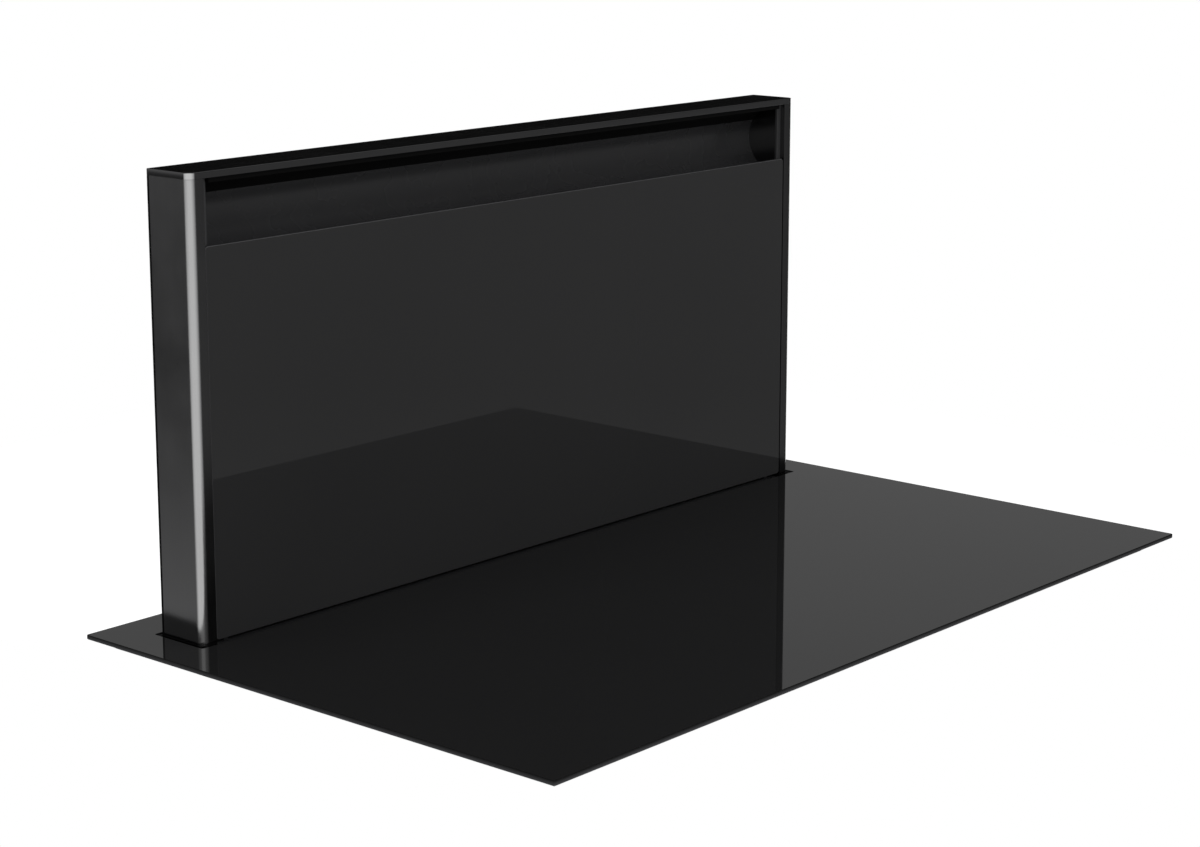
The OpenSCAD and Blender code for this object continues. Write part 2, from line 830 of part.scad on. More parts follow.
// Half of a disc on knuckles: those of side 1 are the even ones, those of side -1 the odd ones
module flap(side) {
    knuckles = 6;
    h = 2 * (flap_r - knuckle_tip) / knuckles;
    knuckle_h = h - 2 * knuckle_gap;
    tab = knuckle_r + 2;
    tab_y = side > 0 ? outlet_y : outlet_y - tab;
    inset = knuckle_r + 3 * knuckle_gap;
    color("#4a4c4f") difference() {
        union() {
            intersection() {
                bar_x(flap_x - flap_t / 2, flap_x + flap_t / 2, outlet_y, outlet_z, flap_r);
                translate([flap_x, outlet_y + side * inset, outlet_z])
                    translate([-5, side > 0 ? 0 : -flap_r, -flap_r]) cube([10, flap_r, 2 * flap_r]);
            }
            for (i = [0 : knuckles - 1])
                if ((i % 2 == 0) == (side > 0))
                    translate([0, 0, outlet_z - flap_r + knuckle_tip + i * h + knuckle_gap]) {
                        translate([flap_x, outlet_y, 0]) cylinder(r = knuckle_r, h = knuckle_h);
                        translate([flap_x - flap_t / 2, tab_y, 0]) cube([flap_t, tab, knuckle_h]);
                    }
        }
        translate([flap_x, outlet_y, outlet_z - flap_r])
            cylinder(r = flap_pin_r + turn_fit, h = 2 * flap_r);
    }
}

module outlet_flap_rear() flap(1);
module outlet_flap_front() flap(-1);

// The control box
module control_box() {
    x1 = control_x + control[0];
    y0 = shaft_y0 - control[1];
    z1 = control_z + control[2];
    color("#8d9093") difference() {
        block([control_x, x1], [y0, shaft_y0], [control_z, z1]);
        block([control_x + control_wall, x1 - control_wall], [y0 - 1, shaft_y0 - control_wall],
            [control_z + control_wall, z1 - control_wall]);
        translate([gland_x, cable_y, control_z - 1]) cylinder(r = gland_r + hole_fit, h = 5);
        translate([conduit_x, cable_y, z1 - 3]) cylinder(r = conduit_r + hole_fit, h = 5);
    }
}

module control_board() {
    inset = 12;
    stand = 4;
    stand_r = 3;
    foot = 30;
    relay = [32, 16, 24];
    filter = [42, 24, 32];
    y1 = shaft_y0 - control_wall;
    y0 = y1 - stand - board_t;
    x0 = control_x + inset;
    x1 = control_x + control[0] - inset;
    z0 = control_z + foot;
    z1 = control_z + control[2] - inset;
    color("#1f5a3a") {
        block([x0, x1], [y0, y1 - stand], [z0, z1]);
        for (x = [x0 + 2 * stand, x1 - 2 * stand], z = [z0 + 2 * stand, z1 - 2 * stand])
            bar_y(y1 - stand, y1, x, z, stand_r);
        translate([x0 + 18, y0 - relay[1], z0 + foot]) cube(relay);
        translate([x1 - 10 - filter[0], y0 - filter[1], z0 + foot]) cube(filter);
    }
}

module control_lid() {
    y1 = shaft_y0 - control[1];
    color("#8d9093") block([control_x, control_x + control[0]], [y1 - control_wall, y1],
        [control_z, control_z + control[2]]);
}

module mains_gland() {
    nut_h = 20;
    neck_h = control_wall + 4;
    color("#18191a") translate([gland_x, cable_y, control_z]) difference() {
        union() {
            translate([0, 0, -nut_h]) cylinder(r = gland_r + 3, h = nut_h, $fn = 6);
            cylinder(r = gland_r, h = neck_h);
        }
        translate([0, 0, -nut_h - 1]) cylinder(r = gland_bore_r, h = nut_h + neck_h + 2);
    }
}

module supply_conduit() {
    z0 = control_z + control[2] - control_wall - 2;
    color("#202123") translate([conduit_x, cable_y, z0]) cylinder(r = conduit_r, h = tray_z0 - z0);
}

// The fixings
module clamp_brackets() {
    w = 24;
    h = 36;
    color("#b4b7ba") both_ends() for (p = clamp_places) {
        block([p[0], p[0] + clamp_t], [p[1] - w / 2, p[1] + w / 2], [clamp_z, clamp_z + h]);
        difference() {
            block([p[0] + clamp_t, p[0] + clamp_out + 10], [p[1] - w / 2, p[1] + w / 2],
                [clamp_z, clamp_z + clamp_t]);
            translate([p[0] + clamp_out, p[1], clamp_z - 1])
                cylinder(r = clamp_screw_r + hole_fit, h = clamp_t + 2);
        }
    }
}

module clamp_screws() {
    below = 22;
    above = 16;
    head_t = 3;
    pad_r = 7;
    color("#d0d2d5") both_ends() for (p = clamp_places)
        translate([p[0] + clamp_out, p[1], clamp_z]) {
            translate([0, 0, -below]) cylinder(r = clamp_screw_r, h = below + above);
            translate([0, 0, -below - head_t]) cylinder(r = 2 * clamp_screw_r, h = head_t, $fn = 6);
            translate([0, 0, above]) cylinder(r = pad_r, h = head_t);
        }
}

// The tower
module end_profile_plan() {
    difference() {
        intersection() {
            tower_plan();
            translate([inner_x, tower_y0]) square([stile_w, tower_d]);
        }
        translate([inner_x + profile_wall, tower_y0 + 9])
            square([stile_w - 2 * profile_wall, tower_d - 18]);
        translate([inner_x - 1, rear_y0 - 0.1]) square([5, rear_t + 0.2]);
    }
    translate([inner_x - lip_w, lip_y0]) square([lip_w + profile_wall / 2, lip_t]);
}

module tower_end() {
    color("#26272a") {
        difference() {
            translate([0, 0, tower_z0]) linear_extrude(cap_z - tower_z0) end_profile_plan();
            // room behind the foot of the front glass when it tilts
            block([inner_x - lip_w - 1, inner_x], [lip_y0 - 1, lip_y0 + lip_t + 1],
                [shelf_z1, hinge_z + 1]);
        }
        block([inner_x - seat_w, inner_x + profile_wall / 2], [seat_y0, seat_y0 + seat_t],
            [shelf_z1, filter_z1 - 12]);
    }
}

module tower_end_right() tower_end();
module tower_end_left() mirror([1, 0, 0]) tower_end();

module top_cap() {
    color("#0f0f10") translate([0, 0, cap_z]) linear_extrude(cap_t) tower_plan();
}

module rear_panel() {
    x = inner_x + 3.8;
    color("#1d1e20") block([-x, x], [rear_y0, rear_y0 + rear_t], [tower_z0, cap_z]);
}

// A curved sheet from the light bar round to the top of the filter
module deflector_plan() {
    ri = defl_r - defl_t;
    far = 2 * defl_r;
    c = cos(defl_end);
    s = sin(defl_end);
    translate([defl_y, defl_z]) intersection() {
        difference() {
            circle(defl_r);
            circle(ri);
        }
        polygon([[0, 0], [0, far], [far, far], [far, -far * s / c]]);
    }
    // the straight tail, along the arc's end, and the tab behind the filter
    translate([defl_y + ri * c, defl_z - ri * s]) rotate(-defl_end) translate([0, -8])
        square([defl_t, 8.2]);
    translate([seat_y0, filter_z1 - 10]) square([defl_t, 12]);
}

module intake_deflector() {
    color("#17181a") along_x(-inner_x, inner_x) deflector_plan();
}

module light_bar() {
    x = inner_x - lip_w - 0.5;
    color("#d9dadb") block([-x, x], [light_y0, light_y1], [cap_z - light_h, cap_z]);
}

// The shelf across the tower's foot, with the hinge lugs of the front panel and of the filter
module bottom_rail() {
    apron = 30;
    rise = 14;
    color("#3a3c3f") {
        block([-inner_x, inner_x], [lip_y0 + lip_t, seat_y0], [shelf_z1 - shelf_t, shelf_z1]);
        block([-inner_x, inner_x], [seat_y0, seat_y0 + seat_t], [shelf_z1 - apron, shelf_z1]);
        block([-inner_x + seat_w, inner_x - seat_w], [seat_y0, seat_y0 + seat_t],
            [shelf_z1, filter_z0 + rise]);
        both_ends() {
            block([hinge_x - 6, hinge_x - 1], [hinge_y - 2, hinge_y + 3], [shelf_z1, hinge_z + 3]);
            bar_x(hinge_x - 1, hinge_x + 3, hinge_y, hinge_z, hinge_pin_r);
            difference() {
                block([inner_x - 5, inner_x], [filter_y0, seat_y0], [shelf_z1, tip_z + 5]);
                bar_x(inner_x - 10, inner_x + 1, tip_y, tip_z, tip_pin_r + turn_fit);
            }
        }
    }
}

module base_frame() {
    y0 = belt_y - 18;
    y1 = tower_y1 - 1;
    color("#55585b") {
        difference() {
            block([-end_x - post_t, end_x + post_t], [y0, y1], [tower_z0 - base_t, tower_z0]);
            block([-inner_x + 2, inner_x - 2], [panel_y1 + 4, rear_y0 - 3],
                [tower_z0 - base_t - 1, tower_z0 + 1]);
        }
        both_ends() {
            block([end_x, end_x + post_t], [y0, y1], [tower_z0, tower_z0 + post_h]);
            // the clamp that grips the belt's front run
            difference() {
                block([end_x + post_t, belt_x + belt_w / 2 + 2.5], [y0, belt_y - belt_in + 4],
                    [tower_z0 + 8, tower_z0 + 26]);
                block([belt_x - belt_w / 2 - 0.5, belt_x + belt_w / 2 + 0.5],
                    [belt_y - belt_out - 0.5, belt_y - belt_in + 0.5],
                    [tower_z0 + 7, tower_z0 + 27]);
            }
        }
    }
}

module guide_shoes() {
    h = 30;
    w = rail_w - 2 * rail_wall - 2 * shoe_gap;
    color("#e2e2dc") both_ends() for (z = [tower_z0 - base_t, tower_z0 + post_h - h])
        block([end_x + post_t, wall_x - rail_wall - slide_gap], [rail_y - w / 2, rail_y + w / 2],
            [z, z + h]);
}

module front_glass() {
    x = inner_x - 0.4;
    color("#131315") block([-x, x], [panel_y0, panel_y1], [panel_z0, panel_z1]);
}

module panel_back() {
    x = hinge_x + ear_t;
    color("#2b2c2e") {
        block([-x, x], [panel_y1, panel_y1 + back_t], [hinge_z + 4, panel_z1 - 8]);
        both_ends() difference() {
            union() {
                bar_x(hinge_x, hinge_x + ear_t, hinge_y, hinge_z, ear_r);
                block([hinge_x, hinge_x + ear_t], [panel_y1, hinge_y + ear_r], [hinge_z, hinge_z + 8]);
            }
            bar_x(hinge_x - 1, hinge_x + 5, hinge_y, hinge_z, hinge_pin_r + turn_fit);
        }
    }
}

// An aluminium frame with slats, one tall slot between each pair
module grease_filter() {
    slats = 70;
    rim = 12;
    gap = 2;
    pin_l = inner_x - filter_x - 1.5;
    pitch = (2 * filter_x - 2 * rim) / slats;
    color("#b9bcc0") {
        difference() {
            block([-filter_x, filter_x], [filter_y0, filter_y1], [filter_z0, filter_z1]);
            block([rim - filter_x, filter_x - rim], [filter_y0 - 1, filter_y1 + 1],
                [filter_z0 + rim, filter_z1 - rim]);
        }
        for (i = [0 : slats - 1])
            block([rim - filter_x + i * pitch + gap, rim - filter_x + (i + 1) * pitch - gap],
                [filter_y0 + (i % 2) * filter_t / 2, filter_y0 + (i % 2 + 1) * filter_t / 2],
                [filter_z0 + rim, filter_z1 - rim]);
        both_ends() bar_x(filter_x, filter_x + pin_l, tip_y, tip_z, tip_pin_r);
    }
}

module drip_tray() {
    x0 = drip_x0;
    x1 = drip_x1;
    wall = 1.5;
    front_t = 3;
    lap = 6;
    grip_w = 100;
    grip_d = 12;
    grip_z = 14;
    y0 = shaft_y0 - slide_gap - front_t;
    y1 = shaft_y1 - sheet_t - 4;
    z0 = shaft_z0 + sheet_t + slide_gap;
    mid = (x0 + x1) / 2;
    color("#44464a") {
        difference() {
            block([x0, x1], [y0 + front_t, y1], [z0, z0 + drip_h]);
            block([x0 + wall, x1 - wall], [y0 + front_t + 1, y1 - wall], [z0 + wall, z0 + drip_h + 1]);
        }
        block([x0 - lap, x1 + lap], [y0, y0 + front_t], [z0, z0 + drip_h + lap]);
        block([mid - grip_w / 2, mid + grip_w / 2], [y0 - grip_d, y0],
            [z0 + grip_z, z0 + grip_z + front_t]);
    }
}

glass_plate();
plate_seal();
slot_trim();
slot_wiper();
under_frame();
induction_tray();
coil_plate();
coil_front_left();
coil_front_right();
coil_rear_left();
coil_rear_right();
coil_bases();
power_boards();
heatsinks();
fan_frames();
touch_board();
shaft_front();
shaft_rear();
shaft_side_left();
shaft_side_right();
shaft_floor();
guide_rails();
lift_motor();
bearing_blocks();
lift_belts();
idler_pins();
scroll_housing();
scroll_cover();
blower_motor();
duct_outlet();
flap_pin();
control_box();
control_lid();
control_board();
mains_gland();
supply_conduit();
clamp_brackets();
clamp_screws();
foot_brackets();
panel_screws();
tower_end_left();
tower_end_right();
top_cap();
rear_panel();
intake_deflector();
light_bar();
bottom_rail();
base_frame();
guide_shoes();
front_glass();
panel_back();
grease_filter();
cross_shaft();
idler_pulleys();
blower_wheel();
fan_rotor_left();
fan_rotor_right();
outlet_flap_front();
outlet_flap_rear();
drip_tray();
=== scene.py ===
import json
from math import atan2, copysign, cos, degrees, radians, sin

import bmesh
import bpy
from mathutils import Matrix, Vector
from mathutils.geometry import tessellate_polygon


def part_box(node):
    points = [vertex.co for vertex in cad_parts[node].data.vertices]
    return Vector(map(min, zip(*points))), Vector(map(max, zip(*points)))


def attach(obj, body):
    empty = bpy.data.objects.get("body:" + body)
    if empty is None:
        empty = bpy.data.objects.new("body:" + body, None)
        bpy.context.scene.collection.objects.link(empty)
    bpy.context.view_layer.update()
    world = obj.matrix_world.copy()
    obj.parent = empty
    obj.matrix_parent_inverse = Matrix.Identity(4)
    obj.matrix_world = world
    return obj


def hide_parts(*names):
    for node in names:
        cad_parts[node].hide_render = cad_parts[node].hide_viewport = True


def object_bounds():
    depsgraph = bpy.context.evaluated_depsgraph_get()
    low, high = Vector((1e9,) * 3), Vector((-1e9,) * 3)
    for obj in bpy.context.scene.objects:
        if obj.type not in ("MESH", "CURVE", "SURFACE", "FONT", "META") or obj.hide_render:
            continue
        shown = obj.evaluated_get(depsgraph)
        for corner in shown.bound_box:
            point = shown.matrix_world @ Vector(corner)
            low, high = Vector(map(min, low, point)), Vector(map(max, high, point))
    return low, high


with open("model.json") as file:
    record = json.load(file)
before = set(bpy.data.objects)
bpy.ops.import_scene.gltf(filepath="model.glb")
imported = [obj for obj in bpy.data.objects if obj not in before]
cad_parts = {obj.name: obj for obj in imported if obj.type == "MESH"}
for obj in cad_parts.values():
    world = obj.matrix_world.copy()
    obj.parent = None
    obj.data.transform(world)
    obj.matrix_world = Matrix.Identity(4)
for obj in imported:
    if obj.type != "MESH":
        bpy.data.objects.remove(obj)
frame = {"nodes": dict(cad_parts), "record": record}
cad_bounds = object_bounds()
SLOTS = {part["node"]: part["material_slot"] for part in frame["record"]["subparts"]}
bpy.context.scene.view_settings.view_transform = "Standard"

# The camera, worked out from the plate's and the tower's edges in the photo
IMAGE_W = 1200
SENSOR = 36.0
FOCAL_PX = 2627.3
SHIFT_PX = 60
CLIP_START = 0.01
CAMERA_PLACE = Vector((-1.7423, -1.4376, 0.6604))
PITCH = 11.47
YAW = 48.98


def link(name, data):
    """A new object of this data, in the scene."""
    made = bpy.data.objects.new(name, data)
    bpy.context.scene.collection.objects.link(made)
    return made


def make_camera():
    data = bpy.data.cameras.new("camera")
    data.sensor_width = SENSOR
    data.lens = FOCAL_PX * SENSOR / IMAGE_W
    data.shift_y = -SHIFT_PX / IMAGE_W
    data.clip_start = CLIP_START
    camera = link("camera", data)
    camera.location = CAMERA_PLACE
    camera.rotation_euler = (radians(90 - PITCH), 0, radians(-YAW))
    bpy.context.scene.camera = camera


# Drawings: lists of points (u, v)
def polar(centre, r, turn):
    """The point at this radius and this angle in degrees from a centre."""
    a = radians(turn)
    return (centre[0] + r * cos(a), centre[1] + r * sin(a))


def arc(centre, r, start, end, steps):
    return [polar(centre, r, start + (end - start) * i / steps) for i in range(steps + 1)]


def circle(centre, r, steps):
    return arc(centre, r, 0, 360, steps)[:-1]


def corner_arcs(x0, y0, x1, y1, radii, steps=8):
    """A rectangle with four corner radii, counter-clockwise from the low Y corner at high X."""
    turns = ((x1, y0, -90), (x1, y1, 0), (x0, y1, 90), (x0, y0, 180))
    points = []
    for (x, y, start), r in zip(turns, radii):
        cx = x - r if x == x1 else x + r
        cy = y - r if y == y1 else y + r
        points += arc((cx, cy), r, start, start + 90, steps)
    return points


def rectangle(u0, v0, u1, v1, r=0.0):
    if r == 0:
        return [(u0, v0), (u1, v0), (u1, v1), (u0, v1)]
    return corner_arcs(u0, v0, u1, v1, [r] * 4, 4)


def bar(a, b, half):
    """A straight bar from a to b, half as wide as this on either side."""
    a = Vector(a)
    b = Vector(b)
    side = (b - a).orthogonal().normalized() * half
    return [a - side, b - side, b + side, a + side]


ORDER = {"x": (2, 0, 1), "y": (0, 2, 1), "z": (0, 1, 2)}


def stand(points, axis, w):
    """A drawing at w along an axis: u and v are (Y, Z) along X, (X, Z) along Y and (X, Y) along Z."""
    return [tuple((u, v, w)[i] for i in ORDER[axis]) for u, v in points]


def inset_ring(box, radii, inset, axis, w, steps=8):
    (u0, v0), (u1, v1) = box
    inner = [max(r - inset, 0.0001) for r in radii]
    return stand(corner_arcs(u0 + inset, v0 + inset, u1 - inset, v1 - inset, inner, steps), axis, w)


# Meshes
MM = 0.001
WELD = 1e-6
# In millimetres: how far a piece runs into another, and how long a round bead's middle is
CUT = 0.3
DOT = 0.01
# A bead's levels: how far its side has come in, and how high it is, both as shares of its height
BEAD_LEVELS = ((0, 0), (0.12, 0.5), (0.5, 0.87), (1.1, 1.0))
# A screw head's outline and socket, as shares of its radius and height
SCREW_HEAD = ((0, 0), (1, 0), (1, 0.35), (0.86, 0.8), (0.6, 1), (0.42, 1), (0.38, 0.4), (0, 0.3))


def mesh_object(name, bm):
    mesh = bpy.data.meshes.new(name)
    bm.to_mesh(mesh)
    bm.free()
    return link(name, mesh)


class Shape:
    """Closed solids gathered into one mesh."""

    def __init__(self):
        self.bm = bmesh.new()

    def ring(self, points):
        return [self.bm.verts.new(p) for p in points]

    def join(self, a, b):
        """Faces between two rings. A ring of one point is the tip of a cone."""
        n = max(len(a), len(b))
        for i in range(n):
            j = (i + 1) % n
            corners = [a[i % len(a)], a[j % len(a)], b[j % len(b)], b[i % len(b)]]
            self.bm.faces.new(list(dict.fromkeys(corners)))

    def skin(self, rings, closed=False):
        """A skin through rings: capped at both ends, or closed on itself."""
        made = [self.ring(points) for points in rings]
        for a, b in zip(made, made[1:]):
            self.join(a, b)
        if closed:
            self.join(made[-1], made[0])
        else:
            for end in (made[0], made[-1]):
                if len(end) > 2:
                    self.bm.faces.new(end)

    def prism(self, loops, low, high, axis):
        """A drawing drawn out along an axis. The first loop is its outline, the others are holes."""
        ends = [[self.ring(stand(loop, axis, w)) for loop in loops] for w in (low, high)]
        for start, end in zip(*ends):
            self.join(start, end)
        triangles = tessellate_polygon([[Vector((u, v, 0)) for u, v in loop] for loop in loops])
        for end in ends:
            flat = [vert for loop in end for vert in loop]
            for t in triangles:
                self.bm.faces.new([flat[i] for i in t])

    def turned(self, profile, axis, centre, steps=48, closed=False):
        """A profile of (radius, place along the axis) turned round it. Closed: a tube's wall."""
        rings = [stand(circle(centre, r, steps) if r > 0 else [centre], axis, w) for r, w in profile]
        self.skin(rings, closed)

    def bead(self, a, b, width, height, axis, face):
        """A stiffening bead from a to b on a sheet's face, hollow below. Its height has a sign."""
        along = degrees(atan2(b[1] - a[1], b[0] - a[0]))
        levels = [(0, copysign(CUT, height))] + [(drop, rise * height) for drop, rise in BEAD_LEVELS]
        rings = []
        for drop, rise in levels:
            r = width / 2 - drop * abs(height)
            points = arc(b, r, along - 90, along + 90, 8) + arc(a, r, along + 90, along + 270, 8)
            rings.append(stand(points, axis, face + rise))
        self.skin(rings)

    def dot(self, place, width, height, axis, face):
        """A round bead, such as a spot weld or a rivet's head."""
        self.bead(place, (place[0] + DOT, place[1]), width, height, axis, face)

    def screw(self, place, axis, face, out, r, h):
        """A domed screw head with a socket in it. out is 1 or -1, the way that it faces."""
        profile = [(r * share, face + out * h * rise) for share, rise in SCREW_HEAD]
        self.turned(profile, axis, place, 18)

    def build(self, name, smooth, scale=MM):
        """The object, smooth up to this angle between faces. One drawn in metres is welded."""
        if scale == 1:
            bmesh.ops.remove_doubles(self.bm, verts=self.bm.verts, dist=WELD)
        bmesh.ops.recalc_face_normals(self.bm, faces=self.bm.faces)
        bmesh.ops.scale(self.bm, vec=(scale, scale, scale), verts=self.bm.verts)
        made = mesh_object(name, self.bm)
        made.data.shade_smooth()
        made.data.set_sharp_from_angle(angle=radians(smooth))
        return made


def prism(name, loops, low, high, axis, smooth=30):
    """One drawing drawn out, in metres."""
    shape = Shape()
    shape.prism(loops, low, high, axis)
    return shape.build(name, smooth, 1)


def loft(name, rings, smooth, closed=False):
    """One skin through rings, in metres."""
    shape = Shape()
    shape.skin(rings, closed)
    return shape.build(name, smooth, 1)


def bevel(obj, width, angle):
    made = obj.modifiers.new("bevel", "BEVEL")
    made.width = width
    made.segments = 2
    made.limit_method = "ANGLE"
    made.angle_limit = radians(angle)
    made.harden_normals = True


def soften(obj, width=0.0002):
    """Rounds the edges: joins split corners and flat triangles first, then bevels."""
    weld = obj.modifiers.new("weld", "WELD")
    weld.merge_threshold = WELD
    flat = obj.modifiers.new("flat", "DECIMATE")
    flat.decimate_type = "DISSOLVE"
    flat.angle_limit = radians(0.5)
    bevel(obj, width, 35)
    return obj


# Materials
class Tree:
    """The node tree of a material or a world, built by calls."""

    def __init__(self, owner, empty=True):
        owner.use_nodes = True
        self.tree = owner.node_tree
        if empty:
            self.tree.nodes.clear()

    def node(self, kind, inputs=None, **settings):
        """A node with its settings. Each input is linked to a socket or set to a value."""
        made = self.tree.nodes.new("ShaderNode" + kind)
        for key, value in settings.items():
            setattr(made, key, value)
        for key, value in (inputs or {}).items():
            if isinstance(value, bpy.types.NodeSocket):
                self.tree.links.new(value, made.inputs[key])
            else:
                made.inputs[key].default_value = value
        return made

    def math(self, operation, *values):
        return self.node("Math", dict(enumerate(values)), operation=operation).outputs[0]

    def span(self, value, low, high, start=0.3, end=0.7, kind="LINEAR"):
        """Maps the range start to end onto low to high."""
        ends = {"Value": value, "From Min": start, "From Max": end, "To Min": low, "To Max": high}
        return self.node("MapRange", ends, interpolation_type=kind).outputs["Result"]

    def coordinates(self, output):
        coord = self.node("TexCoord").outputs[output]
        return self.node("SeparateXYZ", {"Vector": coord}).outputs


class Finish(Tree):
    """A material: one Principled shader and the textures that feed it."""

    def __init__(self, name, colour):
        self.material = bpy.data.materials.new(name)
        super().__init__(self.material, empty=False)
        self.shader = self.tree.nodes["Principled BSDF"]
        self.colour = colour
        self.set("Base Color", (*colour, 1))

    def set(self, socket, value):
        self.shader.inputs[socket].default_value = value

    def surface(self, rough, metal=0.0, ior=1.5):
        self.set("Roughness", rough)
        self.set("Metallic", metal)
        self.set("IOR", ior)

    def feed(self, socket, value):
        self.tree.links.new(value, self.shader.inputs[socket])

    def rough(self, value, low, high, *ends):
        """The roughness runs from low to high with a texture."""
        self.feed("Roughness", self.span(value, low, high, *ends))

    def place(self, stretch=(1, 1, 1)):
        """The point's place on the object, with each axis stretched."""
        coord = self.node("TexCoord").outputs["Object"]
        return self.node("Mapping", {"Vector": coord, "Scale": stretch}).outputs["Vector"]

    def noise(self, scale, detail, stretch=(1, 1, 1), distortion=0.0):
        inputs = {"Vector": self.place(stretch), "Scale": scale, "Detail": detail, "Distortion": distortion}
        return self.node("TexNoise", inputs).outputs["Fac"]

    def tint(self, factor, a, b):
        """The base colour runs from a, a colour or a socket, to the colour b with the factor."""
        start = a if isinstance(a, bpy.types.NodeSocket) else (*a, 1)
        inputs = {"Factor": factor, "A": start, "B": (*b, 1)}
        mixed = self.node("Mix", inputs, data_type="RGBA").outputs["Result"]
        self.feed("Base Color", mixed)
        return mixed

    def times(self, *factors):
        """The written colour times one factor, or times one for each channel."""
        return [c * k for c, k in zip(self.colour, factors * (3 // len(factors)))]

    def shade(self, factor, low, high):
        """The base colour runs from low to high times the written one."""
        return self.tint(factor, self.times(low), self.times(high))

    def bump(self, height, depth):
        """A relief of this depth in metres."""
        relief = self.node("Bump", {"Height": height, "Distance": depth, "Strength": 1.0})
        self.feed("Normal", relief.outputs["Normal"])


def glass_black(f):
    """Black glass: a polish with faint smears and a barely wavy face."""
    f.surface(0.02)
    f.rough(f.noise(9, 5, distortion=1.5), 0.012, 0.045, 0.4, 0.75)
    f.shade(f.noise(4, 2), 0.92, 1.08)
    f.bump(f.noise(2.2, 1), 0.00002)


def ground_edge(f, painted_light_below=0):
    """A glass plate's ground edge: a fine frosting with small chips, or a painted light that makes it paler
    towards the underside.
    """
    f.surface(0.5)
    f.set("Specular IOR Level", 0.15)
    grain = f.noise(1500, 4)
    if painted_light_below:
        # painted light: the edge's colour grows paler towards the underside, as if lit from below
        low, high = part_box("glass_plate")
        down = f.span(f.coordinates("Object")["Z"], 0.0, 1.0, high.z, low.z, "SMOOTHSTEP")
        f.tint(down, f.colour, f.times(painted_light_below))
    else:
        f.shade(grain, 0.7, 1.3)
    f.bump(grain, 0.00003)


def lacquer(f, rough, grain=900, depth=0.00001):
    """Lacquered metal: a fine orange peel, and dust-like changes of gloss."""
    f.surface(rough)
    f.bump(f.noise(grain, 3), depth)
    f.rough(f.noise(30, 2), rough * 0.94, rough * 1.08, 0.2, 0.8, "SMOOTHSTEP")
    f.shade(f.noise(12, 2), 0.95, 1.05)


def anodised(f, rough, along, painted_highlight):
    """Dark anodised aluminium: faint lines along one axis, and a painted highlight that makes the rounded
    upright edges paler.
    """
    f.surface(rough, metal=1.0)
    lines = f.noise(1.0, 4, along)
    tone = f.shade(lines, 0.88, 1.12)
    # painted highlight: where the normal turns between X and Y, on the rounded upright edges, the colour runs
    # paler
    facing = f.coordinates("Normal")
    corner = f.math("ABSOLUTE", f.math("MULTIPLY", facing["X"], facing["Y"]))
    f.tint(f.span(corner, 0.0, 1.0, 0.1, 0.48, "SMOOTHSTEP"), tone, (painted_highlight, painted_highlight, painted_highlight))
    f.rough(f.noise(18, 4), rough * 0.85, rough * 1.25)
    f.bump(lines, 0.000004)


def spangled(f):
    """Galvanised sheet: zinc crystals that differ in tone and gloss, and a few rolling lines."""
    f.surface(0.42, metal=1.0)
    cells = f.node("TexVoronoi", {"Vector": f.place(), "Scale": 85})
    crystals = f.node("SeparateColor", {"Color": cells.outputs["Color"]}).outputs["Red"]
    fine = f.noise(260, 5)
    f.shade(f.math("ADD", f.math("MULTIPLY", crystals, 0.7), f.math("MULTIPLY", fine, 0.3)), 0.78, 1.2)
    f.rough(crystals, 0.36, 0.52, 0.0, 1.0)
    f.bump(fine, 0.00002)


def brushed(f, rough=0.32, along=(4, 500, 500), depth=0.000006):
    """Brushed or rolled metal, with its lines along the axis of the least stretch."""
    f.surface(rough, metal=1.0)
    lines = f.noise(1.0, 5, along)
    f.shade(lines, 0.86, 1.12)
    f.rough(f.noise(40, 4), rough * 0.8, rough * 1.25)
    f.bump(lines, depth)


def plated(f, rough):
    """Zinc-plated steel: bluish clouds over a fine grain."""
    f.surface(rough, metal=1.0)
    clouds = f.noise(16, 5, distortion=0.8)
    f.tint(clouds, f.times(0.9, 0.96, 1.08), f.times(1.08, 1.04, 0.96))
    f.rough(clouds, rough * 0.8, rough * 1.25)
    f.bump(f.noise(700, 3), 0.00001)


def moulded(f, rough):
    """Moulded plastic: an eroded grain and slight flow marks."""
    f.surface(rough, ior=1.46)
    erosion = f.noise(1400, 2)
    f.bump(erosion, 0.00003)
    f.shade(f.noise(25, 3, (1, 1, 3)), 0.9, 1.12)
    f.rough(erosion, rough * 0.9, rough * 1.12)


def flocked(f):
    """A dead matt black coat against stray light, also laid as painted shade on the deflector's top: a fine
    fibrous grain with hardly any gloss.
    """
    f.surface(0.9)
    f.set("Specular IOR Level", 0.05)
    fibres = f.noise(1.0, 4, (2600, 2600, 1200))
    f.bump(fibres, 0.00006)
    f.shade(fibres, 0.7, 1.4)


def rubber(f, rough):
    """Rubber or foam: matt, with fine pores and paler dust."""
    f.surface(rough, ior=1.45)
    pores = f.noise(1800, 3)
    f.bump(pores, 0.00005)
    f.shade(f.noise(40, 4), 0.85, 1.25)
    f.rough(pores, rough * 0.92, min(1, rough * 1.1))


def winding(f):
    """Lacquered litz wire: many fine strands laid round the coil's centre."""
    f.surface(0.32, metal=1.0)
    strands = f.noise(1.0, 2, (1600, 1600, 900))
    f.shade(strands, 0.65, 1.2)
    f.bump(strands, 0.0001)


def board(f):
    """A circuit board: solder mask over paler tracks, with bright pads."""
    f.surface(0.3)
    size = {"Scale": 55.0, "Mortar Size": 0.03, "Brick Width": 0.9, "Row Height": 0.22}
    tracks = f.node("TexBrick", {"Vector": f.place(), **size}).outputs["Fac"]
    f.tint(tracks, f.colour, f.times(1.9))
    f.bump(tracks, 0.00004)


def opal(f):
    """The light bar's diffuser, unlit: smoked, slightly ribbed."""
    f.surface(0.45)
    f.bump(f.noise(1.0, 1, (700, 2, 2)), 0.00004)
    f.shade(f.noise(60, 3), 0.96, 1.03)


